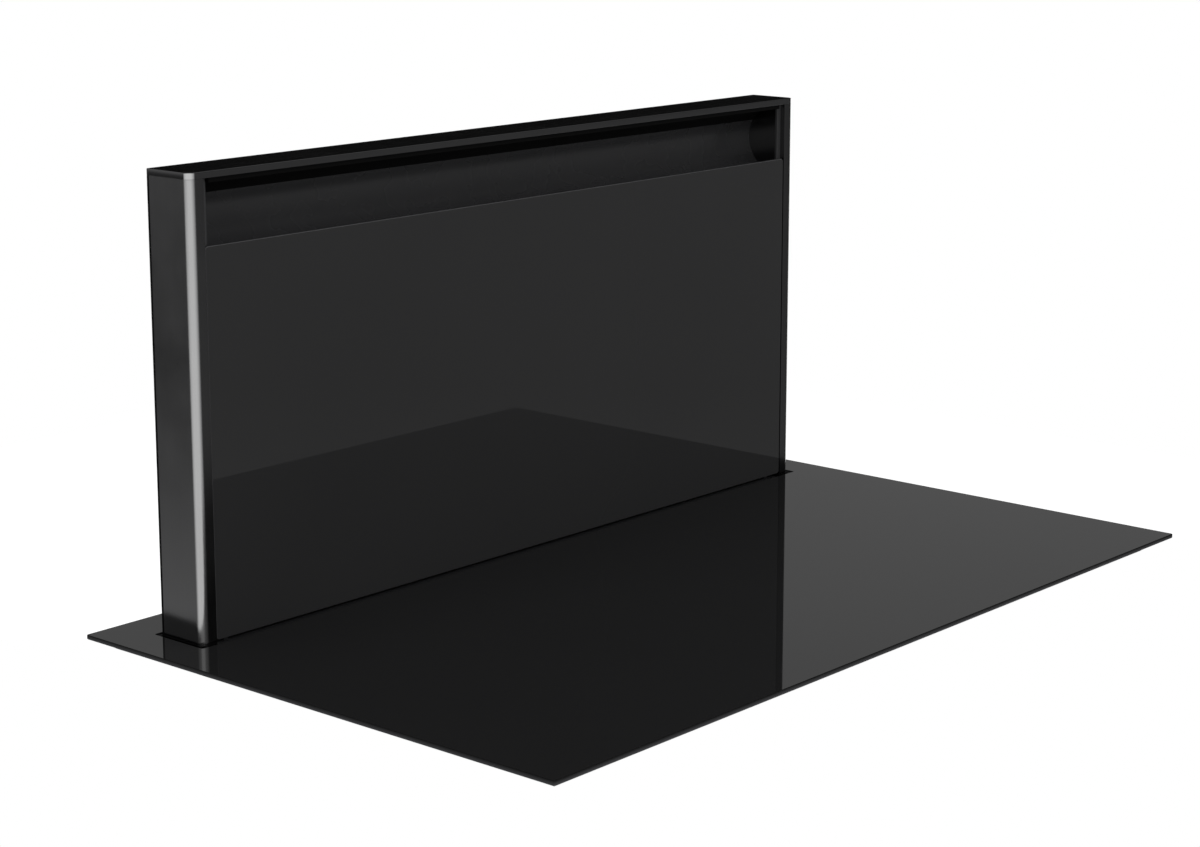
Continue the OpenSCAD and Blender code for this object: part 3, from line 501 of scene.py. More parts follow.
# Each finish: its maker, its colour and what else the maker takes
FINISHES = {
    "plate_glass": (glass_black, (0.0088, 0.0088, 0.0090)),
    "panel_glass": (glass_black, (0.0208, 0.0208, 0.0212)),
    # ground_edge: its last number is how many times paler the painted light from below makes it at the
    # underside
    "ground_edge": (ground_edge, (0.003, 0.003, 0.0032), 16),
    "arris": (ground_edge, (0.002, 0.002, 0.0021)),
    "tower_inner": (lacquer, (0.025, 0.025, 0.026), 0.4),
    "panel_edge": (ground_edge, (0.012, 0.012, 0.0125)),
    "panel_arris": (ground_edge, (0.05, 0.05, 0.052)),
    # tower_black and cap_black: the last number is the paler colour of the rounded upright edges, a painted
    # highlight
    "tower_black": (anodised, (0.13, 0.13, 0.132), 0.2, (900, 900, 6), 0.45),
    "cap_black": (anodised, (0.16, 0.16, 0.163), 0.07, (5, 700, 700), 0.5),
    "rear_black": (lacquer, (0.022, 0.022, 0.024), 0.35),
    "deflector_black": (lacquer, (0.024, 0.024, 0.025), 0.27),
    "seal_grey": (rubber, (0.10, 0.10, 0.10), 0.8),
    "trim_black": (moulded, (0.006, 0.006, 0.0065), 0.5),
    # the light housing's dead black, also used for the painted shade sheet on the deflector's top
    "light_housing": (flocked, (0.003, 0.003, 0.003)),
    "wiper_rubber": (rubber, (0.02, 0.02, 0.02), 0.6),
    "galvanised": (spangled, (0.48, 0.49, 0.50)),
    "zinc": (plated, (0.55, 0.56, 0.58), 0.36),
    "aluminium": (brushed, (0.62, 0.63, 0.64)),
    "copper": (winding, (0.50, 0.22, 0.09)),
    "ferrite": (rubber, (0.06, 0.06, 0.065), 0.6),
    "board_green": (board, (0.02, 0.13, 0.06)),
    "heatsink": (brushed, (0.60, 0.61, 0.62), 0.3, (4, 400, 400)),
    "fan_black": (moulded, (0.02, 0.02, 0.021), 0.45),
    "touch_dark": (board, (0.02, 0.024, 0.03)),
    "belt_rubber": (rubber, (0.018, 0.018, 0.018), 0.65),
    "scroll_plastic": (moulded, (0.05, 0.052, 0.056), 0.5),
    "motor_grey": (lacquer, (0.16, 0.165, 0.17), 0.4, 500, 0.00002),
    "bearing_plastic": (moulded, (0.04, 0.04, 0.042), 0.4),
    "gland_black": (moulded, (0.015, 0.015, 0.015), 0.42),
    "conduit_black": (moulded, (0.02, 0.02, 0.02), 0.5),
    "light_diffuser": (opal, (0.012, 0.012, 0.012)),
    "rail_dark": (lacquer, (0.02, 0.02, 0.021), 0.42),
    "base_steel": (lacquer, (0.16, 0.165, 0.17), 0.42),
    "shoe_nylon": (moulded, (0.72, 0.72, 0.68), 0.42),
    "filter_aluminium": (brushed, (0.58, 0.59, 0.60), 0.3, (500, 500, 4)),
    "bright_steel": (brushed, (0.62, 0.63, 0.65), 0.22, (300, 300, 300), 0.000003),
    "pulley_steel": (brushed, (0.20, 0.21, 0.22), 0.4, (300, 300, 300)),
    "wheel_black": (moulded, (0.03, 0.031, 0.033), 0.45),
    "flap_plastic": (moulded, (0.06, 0.062, 0.065), 0.45),
    "drip_plastic": (moulded, (0.07, 0.072, 0.076), 0.4),
}
finishes = {}
for name, (maker, colour, *how) in FINISHES.items():
    finishes[name] = Finish(name, colour)
    maker(finishes[name], *how)


def paint(obj, *names):
    """Gives the object these finishes, the first for all of its faces until others are set."""
    obj.data.materials.clear()
    for name in names:
        obj.data.materials.append(finishes[name].material)
    return obj


def paint_edges(obj, axis, *names):
    """The first finish on the flats across the axis, the second on the edges, the third on their bevels."""
    paint(obj, *names)
    for face in obj.data.polygons:
        across = abs(face.normal[axis])
        if across < 0.1:
            face.material_index = 1
        elif across < 0.95:
            face.material_index = 2


def fit(obj, body, node, replaced=True):
    """The piece rides on its body. It stands for the node, or is laid on it."""
    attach(obj, body)
    if replaced:
        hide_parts(node)


# The glass plate, with a bevelled ground edge all round it and round its slot
PLATE_CORNER = 0.0015
SLOT_GAP = 0.004
SLOT_CORNER = 0.002
ARRIS = 0.0005


def arris_levels(low, high):
    """How far the glass is inset at each of its levels."""
    return [(ARRIS, low), (0, low + ARRIS), (0, high - ARRIS), (ARRIS, high)]


def make_glass_plate():
    low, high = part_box("glass_plate")
    cap_low, cap_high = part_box("top_cap")
    outer = ((low.x, low.y), (high.x, high.y))
    slot = ((cap_low.x - SLOT_GAP, cap_low.y - SLOT_GAP), (cap_high.x + SLOT_GAP, cap_high.y + SLOT_GAP))
    levels = arris_levels(low.z, high.z)
    rings = [inset_ring(outer, [PLATE_CORNER] * 4, inset, "z", z) for inset, z in reversed(levels)]
    rings += [inset_ring(slot, [SLOT_CORNER] * 4, -inset, "z", z) for inset, z in levels]
    plate = loft("glass_plate_ground", rings, 20, closed=True)
    paint_edges(plate, 2, "plate_glass", "ground_edge", "arris")
    fit(plate, "base", "glass_plate")


# The tower, with a fine arc at its front edges
FRONT_R = 0.0075
REAR_R = 0.0015
REAR_BAND = 0.0035
TOWER_ARC = 16
PANEL_CORNER = 0.003
CAP_EDGE = 0.0005


def make_cap():
    low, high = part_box("top_cap")
    box = ((low.x, low.y), (high.x, high.y))
    radii = (FRONT_R, REAR_R, REAR_R, FRONT_R)
    levels = [(CAP_EDGE * 0.5, low.z), (0, low.z + CAP_EDGE * 0.5)]
    levels += arc((CAP_EDGE, high.z - CAP_EDGE), CAP_EDGE, 180, 90, 4)
    rings = [inset_ring(box, radii, inset, "z", z, TOWER_ARC) for inset, z in levels]
    cap = loft("cap_lacquered", rings, 50)
    even = cap.modifiers.new("even", "WEIGHTED_NORMAL")
    even.weight = 100
    even.keep_sharp = True
    paint(cap, "cap_black")
    fit(cap, "tower", "top_cap")


def make_front_glass():
    low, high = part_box("front_glass")
    box = ((low.x, low.z), (high.x, high.z))
    levels = arris_levels(low.y, high.y)
    rings = [inset_ring(box, [PANEL_CORNER] * 4, inset, "y", y) for inset, y in levels]
    glass = loft("front_glass_polished", rings, 20)
    paint_edges(glass, 1, "panel_glass", "panel_edge", "panel_arris")
    fit(glass, "front_panel", "front_glass")


STILE = 0.0155
WALL = 0.0025
FLANGE = 0.009
GROOVE_IN = 0.004
GROOVE_PLAY = 0.0001
LIP_W = 0.006
LIP_T = 0.0025
LIP_GAP = 0.0003
LIP_NOTCH = (0.0015, 0.0095)
SEAT_W = 0.011
SEAT_T = 0.002
SEAT_GAP = 0.001
SEAT_SHORT = 0.012


def end_loops(side):
    """The end profile seen from above, and its hollow."""
    low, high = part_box("top_cap")
    x1 = high.x
    x0 = x1 - STILE
    y0 = low.y
    y1 = high.y
    groove_low, groove_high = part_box("rear_panel")
    groove_x = x0 + GROOVE_IN
    groove_y0 = groove_low.y - GROOVE_PLAY
    groove_y1 = groove_high.y + GROOVE_PLAY
    outer = [(x0, y0)] + arc((x1 - FRONT_R, y0 + FRONT_R), FRONT_R, -90, 0, TOWER_ARC)
    outer += [(x1, y1 - REAR_BAND)] + arc((x1 - REAR_R, y1 - REAR_R), REAR_R, 0, 90, 4)
    outer += [(x0, y1), (x0, groove_y1), (groove_x, groove_y1), (groove_x, groove_y0), (x0, groove_y0)]
    hollow = rectangle(x0 + WALL, y0 + FLANGE, x1 - WALL, y1 - FLANGE)
    return [[(side * x, y) for x, y in loop] for loop in (outer, hollow)]


def make_tower_end(side, node):
    """The profile, its lip behind the front glass with a notch at the hinge, and the filter's seat."""
    low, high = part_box(node)
    shelf, notch = LIP_NOTCH
    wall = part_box("top_cap")[1]
    inner = wall.x - STILE
    grease_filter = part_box("grease_filter")[1]

    def strip(name, width, y, thick, z0, z1):
        loop = rectangle(side * (inner - width), y, side * inner, y + thick)
        made = paint(prism(node + name, [loop], z0, z1, "z"), "tower_inner")
        fit(soften(made), "tower", node, False)

    lip_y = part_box("front_glass")[1].y + LIP_GAP
    strip("_lip_low", LIP_W, lip_y, LIP_T, low.z, shelf)
    strip("_lip_high", LIP_W, lip_y, LIP_T, notch, high.z)
    strip("_seat", SEAT_W, grease_filter.y + SEAT_GAP, SEAT_T, shelf, grease_filter.z - SEAT_SHORT)
    end = prism(node + "_profile", end_loops(side), low.z, high.z, "z", 25)
    paint(end, "tower_black", "light_housing")
    for face in end.data.polygons:
        if face.normal.x * side > 0.5 and face.center.y > wall.y - REAR_BAND:
            face.material_index = 1
    fit(end, "tower", node)


def draw_along(node, name, loop, finish, replaced=False, smooth=None, inset=0.0):
    """A drawing drawn out along the tower over a node's width. If it isn't smooth, its edges are rounded."""
    low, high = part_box(node)
    made = paint(prism(name, [loop], low.x + inset, high.x - inset, "x", smooth or 30), finish)
    if not smooth:
        soften(made)
    fit(made, "tower", node, replaced)


DEFLECTOR_R = 0.035
DEFLECTOR_T = 0.0015
DEFLECTOR_END = -50
DEFLECTOR_TAIL = 0.008
DEFLECTOR_STEPS = 56
TAB_H = 0.012
SHADE_SHEET_T = 0.0006
SHADE_SHEET_END = 31
SHADE_SHEET_STEPS = 24


def make_deflector():
    """The rolled sheet behind the intake: an arc, a straight tail and a tab behind the filter, and a dead
    black sheet on the arc's top as painted shade under the cap.
    """
    low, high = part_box("intake_deflector")
    centre = (high.y - DEFLECTOR_R, high.z - DEFLECTOR_R)
    inner = DEFLECTOR_R - DEFLECTOR_T
    end = radians(DEFLECTOR_END)
    back = Vector((sin(end), -cos(end))) * DEFLECTOR_TAIL
    loop = arc(centre, DEFLECTOR_R, 90, DEFLECTOR_END, DEFLECTOR_STEPS)
    inside = arc(centre, inner, DEFLECTOR_END, 90, DEFLECTOR_STEPS)
    loop += [Vector(loop[-1]) + back, Vector(inside[0]) + back] + inside
    draw_along("intake_deflector", "deflector_rolled", loop, "deflector_black", True, 20)
    # painted shade: a dead black sheet on the upper part of the arc stands for the shadow under the cap
    shade_sheet = arc(centre, inner, 90, SHADE_SHEET_END, SHADE_SHEET_STEPS)
    shade_sheet += arc(centre, inner - SHADE_SHEET_T, SHADE_SHEET_END, 90, SHADE_SHEET_STEPS)
    draw_along("intake_deflector", "deflector_painted_shade", shade_sheet, "light_housing", smooth=20)
    seat_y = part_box("grease_filter")[1].y + SEAT_GAP
    tab = rectangle(seat_y, low.z, seat_y + DEFLECTOR_T, low.z + TAB_H)
    draw_along("intake_deflector", "deflector_tab", tab, "deflector_black")


LIGHT_LIP = 0.0012
STRIP_UP = 0.0004
STRIP_IN = 0.004


def make_light_bar():
    """A black housing with a ribbed opal strip let into its underside."""
    low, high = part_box("light_bar")
    y0 = low.y + LIGHT_LIP
    y1 = high.y - LIGHT_LIP
    z1 = low.z + LIGHT_LIP
    shell = [(low.y, low.z), (y0, low.z), (y0, z1), (y1, z1), (y1, low.z), (high.y, low.z),
             (high.y, high.z), (low.y, high.z)]
    draw_along("light_bar", "light_housing", shell, "light_housing", True)
    strip = rectangle(y0, low.z + STRIP_UP, y1, z1)
    draw_along("light_bar", "light_strip", strip, "light_diffuser", inset=STRIP_IN)


# Small and turned pieces, written in millimetres
def box_mm(node):
    low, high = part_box(node)
    return low / MM, high / MM


def middle_mm(node, axes):
    """The middle of a node's box in a drawing, along two axes such as "xy"."""
    low, high = box_mm(node)
    return [(getattr(low, axis) + getattr(high, axis)) / 2 for axis in axes]


def finish_shape(shape, name, node, replaced=True, body="base", smooth=35, edge=0.0, finish=None):
    """Builds the piece in its node's finish. It stands for the node, or is laid on it."""
    made = shape.build(name, smooth)
    if edge:
        bevel(made, edge, 40)
    paint(made, finish or SLOTS[node])
    fit(made, body, node, replaced)


# The shaft's sheets: stiffening beads and rows of spot welds
REAR_BEADS = range(-105, -466, -90)
FRONT_BEADS = (
    # x from, x to, the heights z
    (255, 400, (-100, -160, -220, -280)),
    (190, 400, (-350, -410, -470)),
    (-400, -275, (-350, -410, -470)),
    (-400, 60, (-530,)),
    (-120, 60, (-92,)),
)
SHEET_T = 1.2
BEAD_W = 15
SIDE_BEAD_W = 21
BEAD_H = 2.2
BEAD_IN = 60
WELD_W = 5.2
WELD_H = 0.35
WELD_PITCH = 45
WELD_IN = 8
ROW_IN = 40
# The foot brackets, where the lower row of the rear sheet has no welds
FOOT_X = 380
FOOT_HALF = 18


def make_shaft_details():
    low, high = box_mm("shaft_rear")
    rear = Shape()
    for z in REAR_BEADS:
        rear.bead((low.x + BEAD_IN, z), (high.x - BEAD_IN, z), BEAD_W, BEAD_H, "y", high.y)
    row = high.x - low.x - 2 * ROW_IN
    welds = int(row / WELD_PITCH)
    for i in range(welds + 1):
        x = low.x + ROW_IN + row * i / welds
        if abs(abs(x) - FOOT_X) > FOOT_HALF:
            rear.dot((x, low.z + WELD_IN), WELD_W, WELD_H, "y", high.y)
        rear.dot((x, high.z - WELD_IN), WELD_W, WELD_H, "y", high.y)
    finish_shape(rear, "shaft_rear_beads", "shaft_rear", False)

    face = box_mm("shaft_side_right")[0].y - SHEET_T
    front = Shape()
    for x0, x1, heights in FRONT_BEADS:
        for z in heights:
            front.bead((x0, z), (x1, z), BEAD_W, -BEAD_H, "y", face)
    finish_shape(front, "shaft_front_beads", "shaft_front", False)

    for side, node in ((1, "shaft_side_right"), (-1, "shaft_side_left")):
        low, high = box_mm(node)
        plane = high.x if side > 0 else low.x
        y = (low.y + high.y) / 2
        sheet = Shape()
        sheet.bead((y, low.z + 50), (y, high.z - 110), SIDE_BEAD_W, side * BEAD_H, "x", plane)
        rows = int((high.z - low.z - 100) / WELD_PITCH)
        for i in range(rows + 1):
            z = low.z + 20 + WELD_PITCH * i
            for y in (low.y + WELD_IN, high.y - WELD_IN):
                sheet.bead((y, z), (y, z + DOT), WELD_W, side * WELD_H, "x", plane)
        finish_shape(sheet, node + "_beads", node, False)


def make_panel_screws():
    low, high = box_mm("panel_screws")
    rear = box_mm("shaft_rear")[1].y
    head = 3.8
    shank = [(0, low.y), (1.4, low.y), (2, low.y + 1), (2, rear + CUT), (0, rear + CUT)]
    screws = Shape()
    for x in (head - high.x, high.x - head):
        for z in (low.z + head, -300, high.z - head):
            screws.screw((x, z), "y", rear, 1, head, 2.0)
            screws.turned(shank, "y", (x, z), 16)
    finish_shape(screws, "panel_screws_domed", "panel_screws")


TRAY_BEAD_W = 9
TRAY_BEAD_H = 1.4
RIVET_W = 5
RIVET_H = 0.9
RIVET_IN = 7
HEM_H = 1.2
GUARD_R = 39
WIRE_R = 0.8


def make_tray_details():
    """The induction tray's beads, rivets and front hem, the ribs of its floor and the fans' guards."""
    low, high = box_mm("induction_tray")
    middle = (low.z + high.z) / 2
    rivets_z = (low.z + 12, middle, high.z - 14)
    tray = Shape()
    for side, plane in ((1, high.x), (-1, low.x)):
        for y0, y1 in ((-110, high.y - 30), (low.y + 25, -185)):
            tray.bead((y0, middle), (y1, middle), TRAY_BEAD_W, side * TRAY_BEAD_H, "x", plane)
        for z in rivets_z:
            for y in (low.y + RIVET_IN, high.y - RIVET_IN):
                tray.dot((y, z), RIVET_W, side * RIVET_H, "x", plane)
    for x in (low.x + RIVET_IN, high.x - RIVET_IN):
        for z in rivets_z:
            tray.dot((x, z), RIVET_W, -RIVET_H, "y", low.y)
    tray.bead((low.x + 5, low.z + 2.2), (high.x - 5, low.z + 2.2), 3, -HEM_H, "y", low.y)
    tray.bead((-360, low.z + 10), (360, low.z + 10), 6, -HEM_H, "y", low.y)
    for y in (-190, -130, -70):
        tray.bead((-300, y), (300, y), 14, -1.6, "z", low.z)
    fan_x, fan_y = middle_mm("fan_rotor_right", "xy")
    for centre in ((-fan_x, fan_y), (fan_x, fan_y)):
        for r in (9, 16, 23, 30):
            wire = [polar((r, low.z + 0.6), WIRE_R, turn) for turn in range(0, 360, 60)]
            tray.turned(wire, "z", centre, 40, closed=True)
        for turn in (45, 135):
            cross = bar(polar(centre, -GUARD_R, turn), polar(centre, GUARD_R, turn), 0.9)
            tray.prism([cross], low.z + 0.1, low.z + 1.1, "z")
    finish_shape(tray, "tray_beads_and_guards", "induction_tray", False)


# The coils: litz wire wound in close turns of eight sides, with a gap between inner and outer ones
TURN = 2.7
TURN_HALF = 0.49
COIL_BORE = 26
COIL_GAP = (52, 56)
EIGHTH = 0.924


def make_coils():
    for node in ("coil_front_left", "coil_front_right", "coil_rear_left", "coil_rear_right"):
        low, high = box_mm(node)
        width = (high.x - low.x) / 2 - COIL_BORE
        pitch = width / int(width / TURN)
        half_w = pitch * TURN_HALF
        half_h = (high.z - low.z) / 2
        coil = Shape()
        for i in range(int(width / TURN)):
            r = COIL_BORE + pitch * (i + 0.5)
            if COIL_GAP[0] < r < COIL_GAP[1]:
                continue
            loop = []
            for u, v in arc((0, 0), 1, 22.5, 337.5, 7):
                loop.append((r + half_w * u / EIGHTH, low.z + half_h + half_h * v / EIGHTH))
            coil.turned(loop, "z", middle_mm(node, "xy"), 72, closed=True)
        finish_shape(coil, node + "_wound", node, smooth=60)


# The blower's scroll, drawn as in the CAD but smooth, with a screwed joint and a ribbed cover
SCROLL_TONGUE = 25
SCROLL_SWEEP = 295
SCROLL_WALL = 2.0
SCROLL_R0 = 106.0
SCROLL_SWELL = 102.0
TONGUE_GAP = 4.0
SCROLL_STEP = 1.25
INLET_R = 80
JOINT_OUT = 6.0
JOINT_H = 3
JOINT_BOSSES = range(5, -241, -35)
WALL_RIBS = (-12, -47, -82, -117, -152, -187, -222, -252)
BOSS_OUT = 4.5
RIB_HALF = 1.1
# The cover's face behind its box's, the bosses' before it, and its rings: radius and height
COVER_IN = 0.4
PAD_OUT = 0.6
COVER_RINGS = ((30, 2.4), (62, 1.6), (98, 1.6))
COVER_RIBS = ((32, 63), (64.5, 99))


def spiral(centre, a, grow):
    r = SCROLL_R0 + SCROLL_SWELL * (SCROLL_TONGUE - a) / SCROLL_SWEEP + grow
    return polar(centre, r, a)


def scroll_line(centre, x1, low_z, grow):
    """The spiral from the tongue round to the outlet's end, and back along the outlet's underside."""
    steps = int(SCROLL_SWEEP / SCROLL_STEP)
    points = [spiral(centre, SCROLL_TONGUE - SCROLL_STEP * i, grow) for i in range(steps + 1)]
    points.append((x1, centre[1] + SCROLL_R0 + SCROLL_SWELL + grow))
    return points + [(x1, low_z - grow), (centre[0] + SCROLL_R0 + TONGUE_GAP, low_z - grow)]


def between(outer, inner):
    """The wall between two such lines, with their ends at the outlet and at the tongue."""
    return outer[:-2] + inner[-3::-1] + [inner[-1], inner[-2], outer[-2], outer[-1]]


def make_scroll():
    low, high = box_mm("scroll_housing")
    centre = middle_mm("blower_wheel", "xz")
    x1 = high.x
    under = box_mm("duct_outlet")[0].z + 4
    inner, outer, joint = [scroll_line(centre, x1, under, grow) for grow in (0, SCROLL_WALL, JOINT_OUT)]
    plate = high.y - JOINT_H
    shell = Shape()
    shell.prism([between(outer, inner)], low.y, plate, "y")
    shell.prism([outer, circle(centre, INLET_R, 96)], plate, high.y, "y")
    for y in (low.y, plate - JOINT_H):
        shell.prism([between(joint, outer)], y, y + JOINT_H, "y")
    bosses = [spiral(centre, a, SCROLL_WALL + BOSS_OUT) for a in JOINT_BOSSES]
    top = centre[1] + SCROLL_R0 + SCROLL_SWELL + SCROLL_WALL + BOSS_OUT
    foot = under - SCROLL_WALL - BOSS_OUT
    bosses += [(20, top), (90, top), (x1 - 14, top), (75, foot), (x1 - 14, foot)]
    for place in bosses:
        shell.turned([(0, low.y), (5.2, low.y), (4.6, low.y + 16), (0, low.y + 18)], "y", place, 20)
    for a in WALL_RIBS:
        rib = bar(spiral(centre, a, SCROLL_WALL - 1), spiral(centre, a, JOINT_OUT - 1), RIB_HALF)
        shell.prism([rib], low.y + 2, plate - 1, "y")
    finish_shape(shell, "scroll_shell", "scroll_housing", smooth=25, edge=0.0004)

    low, high = box_mm("scroll_cover")
    sheet = low.y + COVER_IN
    pad = low.y - PAD_OUT
    inside = low.y + 1
    cover = Shape()
    cover.prism([joint, circle(centre, 24, 48)], sheet, high.y, "y")
    for place in bosses:
        cover.turned([(0, inside), (5.6, inside), (5.2, pad), (0, pad)], "y", place, 20)
    for r, h in COVER_RINGS:
        ring = [(r, inside), (r, sheet - h), (r + 3, sheet - h), (r + 3, inside)]
        cover.turned(ring, "y", centre, 96, closed=True)
    for turn in range(15, 375, 30):
        for r0, r1 in COVER_RIBS:
            rib = bar(polar(centre, r0, turn), polar(centre, r1, turn), RIB_HALF)
            cover.prism([rib], low.y - 0.8, inside, "y")
    finish_shape(cover, "scroll_cover_ribbed", "scroll_cover", smooth=25, edge=0.0003)

    screws = Shape()
    for place in bosses:
        screws.screw(place, "y", pad, -1, 3.4, 1.8)
    for turn in (90, 210, 330):
        screws.screw(polar(centre, 27, turn), "y", sheet, -1, 2.8, 1.6)
    finish_shape(screws, "scroll_screws", "scroll_cover", False, finish="bright_steel")


def make_motor():
    """The blower's motor: can, neck with cooling grooves, and a rounded end cap."""
    low, high = box_mm("blower_motor")
    start = box_mm("scroll_cover")[1].y
    bore = 4.05
    neck = 22.9
    groove = neck - 1.6
    r = 45
    profile = [(0, low.y), (14, low.y), (15, low.y + 0.8), (17.5, low.y + 0.8), (18.5, low.y),
               (neck - 2, low.y), (neck, low.y + 2)]
    y = low.y + 4
    while y < start - 3:
        profile += [(neck, y), (groove, y + 0.5), (groove, y + 1.3), (neck, y + 1.8)]
        y += 2.8
    profile += [(neck, start), (r - 2, start), (r, start + 2), (r, start + 8), (r - 1, start + 8.6),
                (r - 1, high.y - 8), (r, high.y - 7), (r, high.y - 2), (r - 2, high.y)]
    profile += [(bore, high.y), (bore, start + 5), (0, start + 5)]
    motor = Shape()
    motor.turned(profile, "y", middle_mm("blower_wheel", "xz"), 72)
    finish_shape(motor, "blower_motor_turned", "blower_motor", smooth=30)


def make_duct_outlet():
    """A screwed flange with gussets, and a spigot with two sealing beads."""
    low, high = box_mm("duct_outlet")
    centre = middle_mm("duct_outlet", "yz")
    flange = low.x + 3
    inner = 72.5
    outer = 74.5
    wall = outer - 0.3
    reach = 96
    gusset_levels = ((flange - CUT, reach), (flange + 2, reach), (flange + 18, outer + 0.6))
    outlet = Shape()
    outline = rectangle(low.y, low.z, high.y, high.z, 6)
    outlet.prism([outline, circle(centre, inner, 96)], low.x, flange, "x")
    profile = [(inner, flange - 0.5), (outer + 1.5, flange - 0.5), (outer + 1.5, flange), (outer, flange + 2)]
    for bead in (flange + 20, flange + 42):
        profile += [(wall + 1.1 * rise, bead - 3 * back) for back, rise in arc((0, 0), 1, 0, 180, 6)]
    profile += [(wall, high.x - 4), (outer - 1.1, high.x), (inner, high.x)]
    outlet.turned(profile, "x", centre, 96, closed=True)
    screws = Shape()
    for turn in (45, 135, 225, 315):
        start = polar(centre, outer - 1, turn)
        outlet.skin([stand(bar(start, polar(centre, end, turn), 1.0), "x", x) for x, end in gusset_levels])
        for offset in (-16, 16):
            place = polar(polar((0, 0), reach, turn), offset, turn + 90)
            y, z = [max(-72, min(p, 72)) for p in place]
            screws.screw((centre[0] + y, centre[1] + z), "x", flange, 1, 3.2, 1.8)
    finish_shape(outlet, "duct_outlet_beaded", "duct_outlet", smooth=40, edge=0.0003)
    finish_shape(screws, "duct_screws", "duct_outlet", False, finish="bright_steel")


# The control box's lid, with air slots, beads and screws
LID_BEAD_IN = 16
LID_SCREW_IN = 7


def make_lid():
    low, high = box_mm("control_lid")
    loops = [rectangle(low.x, low.z, high.x, high.z, 2)]
    for i in range(7):
        z = low.z + 22 + 7 * i
        for x in (low.x + 36, low.x + 76):
            loops.append(rectangle(x, z, x + 28, z + 2.6, 1.2))
    lid = Shape()
    lid.prism(loops, low.y, high.y, "y")
    beads = [((low.x + LID_BEAD_IN, z), (high.x - LID_BEAD_IN, z)) for z in (high.z - 14, low.z + 12)]
    beads += [((x, low.z + 26), (x, high.z - 28)) for x in (low.x + 12, high.x - 12)]
    for a, b in beads:
        lid.bead(a, b, 5, -1.1, "y", low.y)
    finish_shape(lid, "control_lid_vented", "control_lid", smooth=25, edge=0.0002)
    screws = Shape()
    for x in (low.x + LID_SCREW_IN, high.x - LID_SCREW_IN):
        for z in (low.z + LID_SCREW_IN, high.z - LID_SCREW_IN):
            screws.screw((x, z), "y", low.y, -1, 3.0, 1.6)
    finish_shape(screws, "control_lid_screws", "control_lid", False, finish="bright_steel")


def make_gland():
    """The mains gland: a hexagon, a knurled dome below it and a collar above."""
    low, high = box_mm("mains_gland")
    centre = middle_mm("mains_gland", "xy")
    z = low.z
    bore = 6.0
    hexa = 11.0
    dome = 9.4
    neck = 8
    top = z + 20
    gland = Shape()
    gland.turned([(bore, z + 11), (hexa - 1, z + 10.6), (hexa, z + 11.6), (hexa, z + 16.4),
                  (hexa - 1, z + 17.4), (bore, z + 17.4)], "z", centre, 6, closed=True)
    gland.turned([(bore, z), (7.2, z), (8.6, z + 1.4), (dome, z + 4), (dome, z + 11.2),
                  (bore, z + 11.2)], "z", centre, closed=True)
    rib = [(0, z + 3.4), (0.8, z + 4), (0.8, z + 10.9), (0, z + 10.9)]
    for turn in range(0, 360, 30):
        gland.turned(rib, "z", polar(centre, dome - 0.2, turn), 8)
    gland.turned([(bore, z + 17.2), (neck, z + 17.2), (neck, top - 1.4), (10.6, top - 1.4),
                  (10.6, top - 0.05), (neck, top - 0.05), (neck, high.z), (bore, high.z)],
                 "z", centre, closed=True)
    finish_shape(gland, "mains_gland_knurled", "mains_gland", smooth=30)


# A ridge of the conduit: place in its pitch, and radius
RIDGE = ((0.0, 5.2), (0.3, 5.2), (0.45, 6.0), (0.8, 6.0), (0.95, 5.2))
RIDGE_PITCH = 3


def make_conduit():
    low, high = box_mm("supply_conduit")
    length = high.z - low.z
    ridges = int(length / RIDGE_PITCH)
    pitch = length / ridges
    profile = [(0, low.z)]
    for i in range(ridges):
        profile += [(r, low.z + pitch * i + pitch * share) for share, r in RIDGE]
    profile += [(RIDGE[0][1], high.z), (0, high.z)]
    conduit = Shape()
    conduit.turned(profile, "z", middle_mm("supply_conduit", "xy"), 32)
    finish_shape(conduit, "supply_conduit_ribbed", "supply_conduit", smooth=30)


def make_clamp_screws():
    """Threaded spindles with a hexagon head and a swivelling pad."""
    low, high = box_mm("clamp_screws")
    beside = 20
    tray_x = box_mm("induction_tray")[1].x + beside
    shaft_x = box_mm("shaft_side_right")[1].x + beside
    shaft_y = (box_mm("shaft_front")[0].y + 9 + box_mm("shaft_rear")[1].y) / 2
    crest = 2.5
    root = 2.05
    pitch = 1.0
    thread = [(0, low.z + 2.5), (crest, low.z + 2.5)]
    z = low.z + 3.4
    while z < high.z - 3.2:
        thread += [(crest, z), (root, z + pitch / 2)]
        z += pitch
    thread += [(2.3, high.z - 2.5), (0, high.z - 2.5)]
    head = [(0, low.z), (4.2, low.z), (5, low.z + 0.7), (5, low.z + 3), (0, low.z + 3)]
    pad = [(0, high.z - 3), (4.5, high.z - 3), (6.2, high.z - 2.2), (7, high.z - 1.2),
           (7, high.z - 0.4), (6.6, high.z), (0, high.z)]
    screws = Shape()
    for x, y in ((-tray_x, -150), (tray_x, -150), (-shaft_x, shaft_y), (shaft_x, shaft_y)):
        for profile, steps in ((thread, 16), (head, 6), (pad, 32)):
            screws.turned(profile, "z", (x, y), steps)
    finish_shape(screws, "clamp_screws_threaded", "clamp_screws", smooth=30)


TOWER_RIVET_IN = 9.5
TOWER_RIVETS_Z = range(22, 375, 88)


def make_tower_rivets():
    """Blind rivets that hold the rear panel in its grooves."""
    low, high = box_mm("rear_panel")
    rivets = Shape()
    for x in (low.x + TOWER_RIVET_IN, high.x - TOWER_RIVET_IN):
        for z in TOWER_RIVETS_Z:
            rivets.screw((x, z), "y", high.y, 1, 2.4, 1.0)
    finish_shape(rivets, "rear_panel_rivets", "rear_panel", False, "tower")


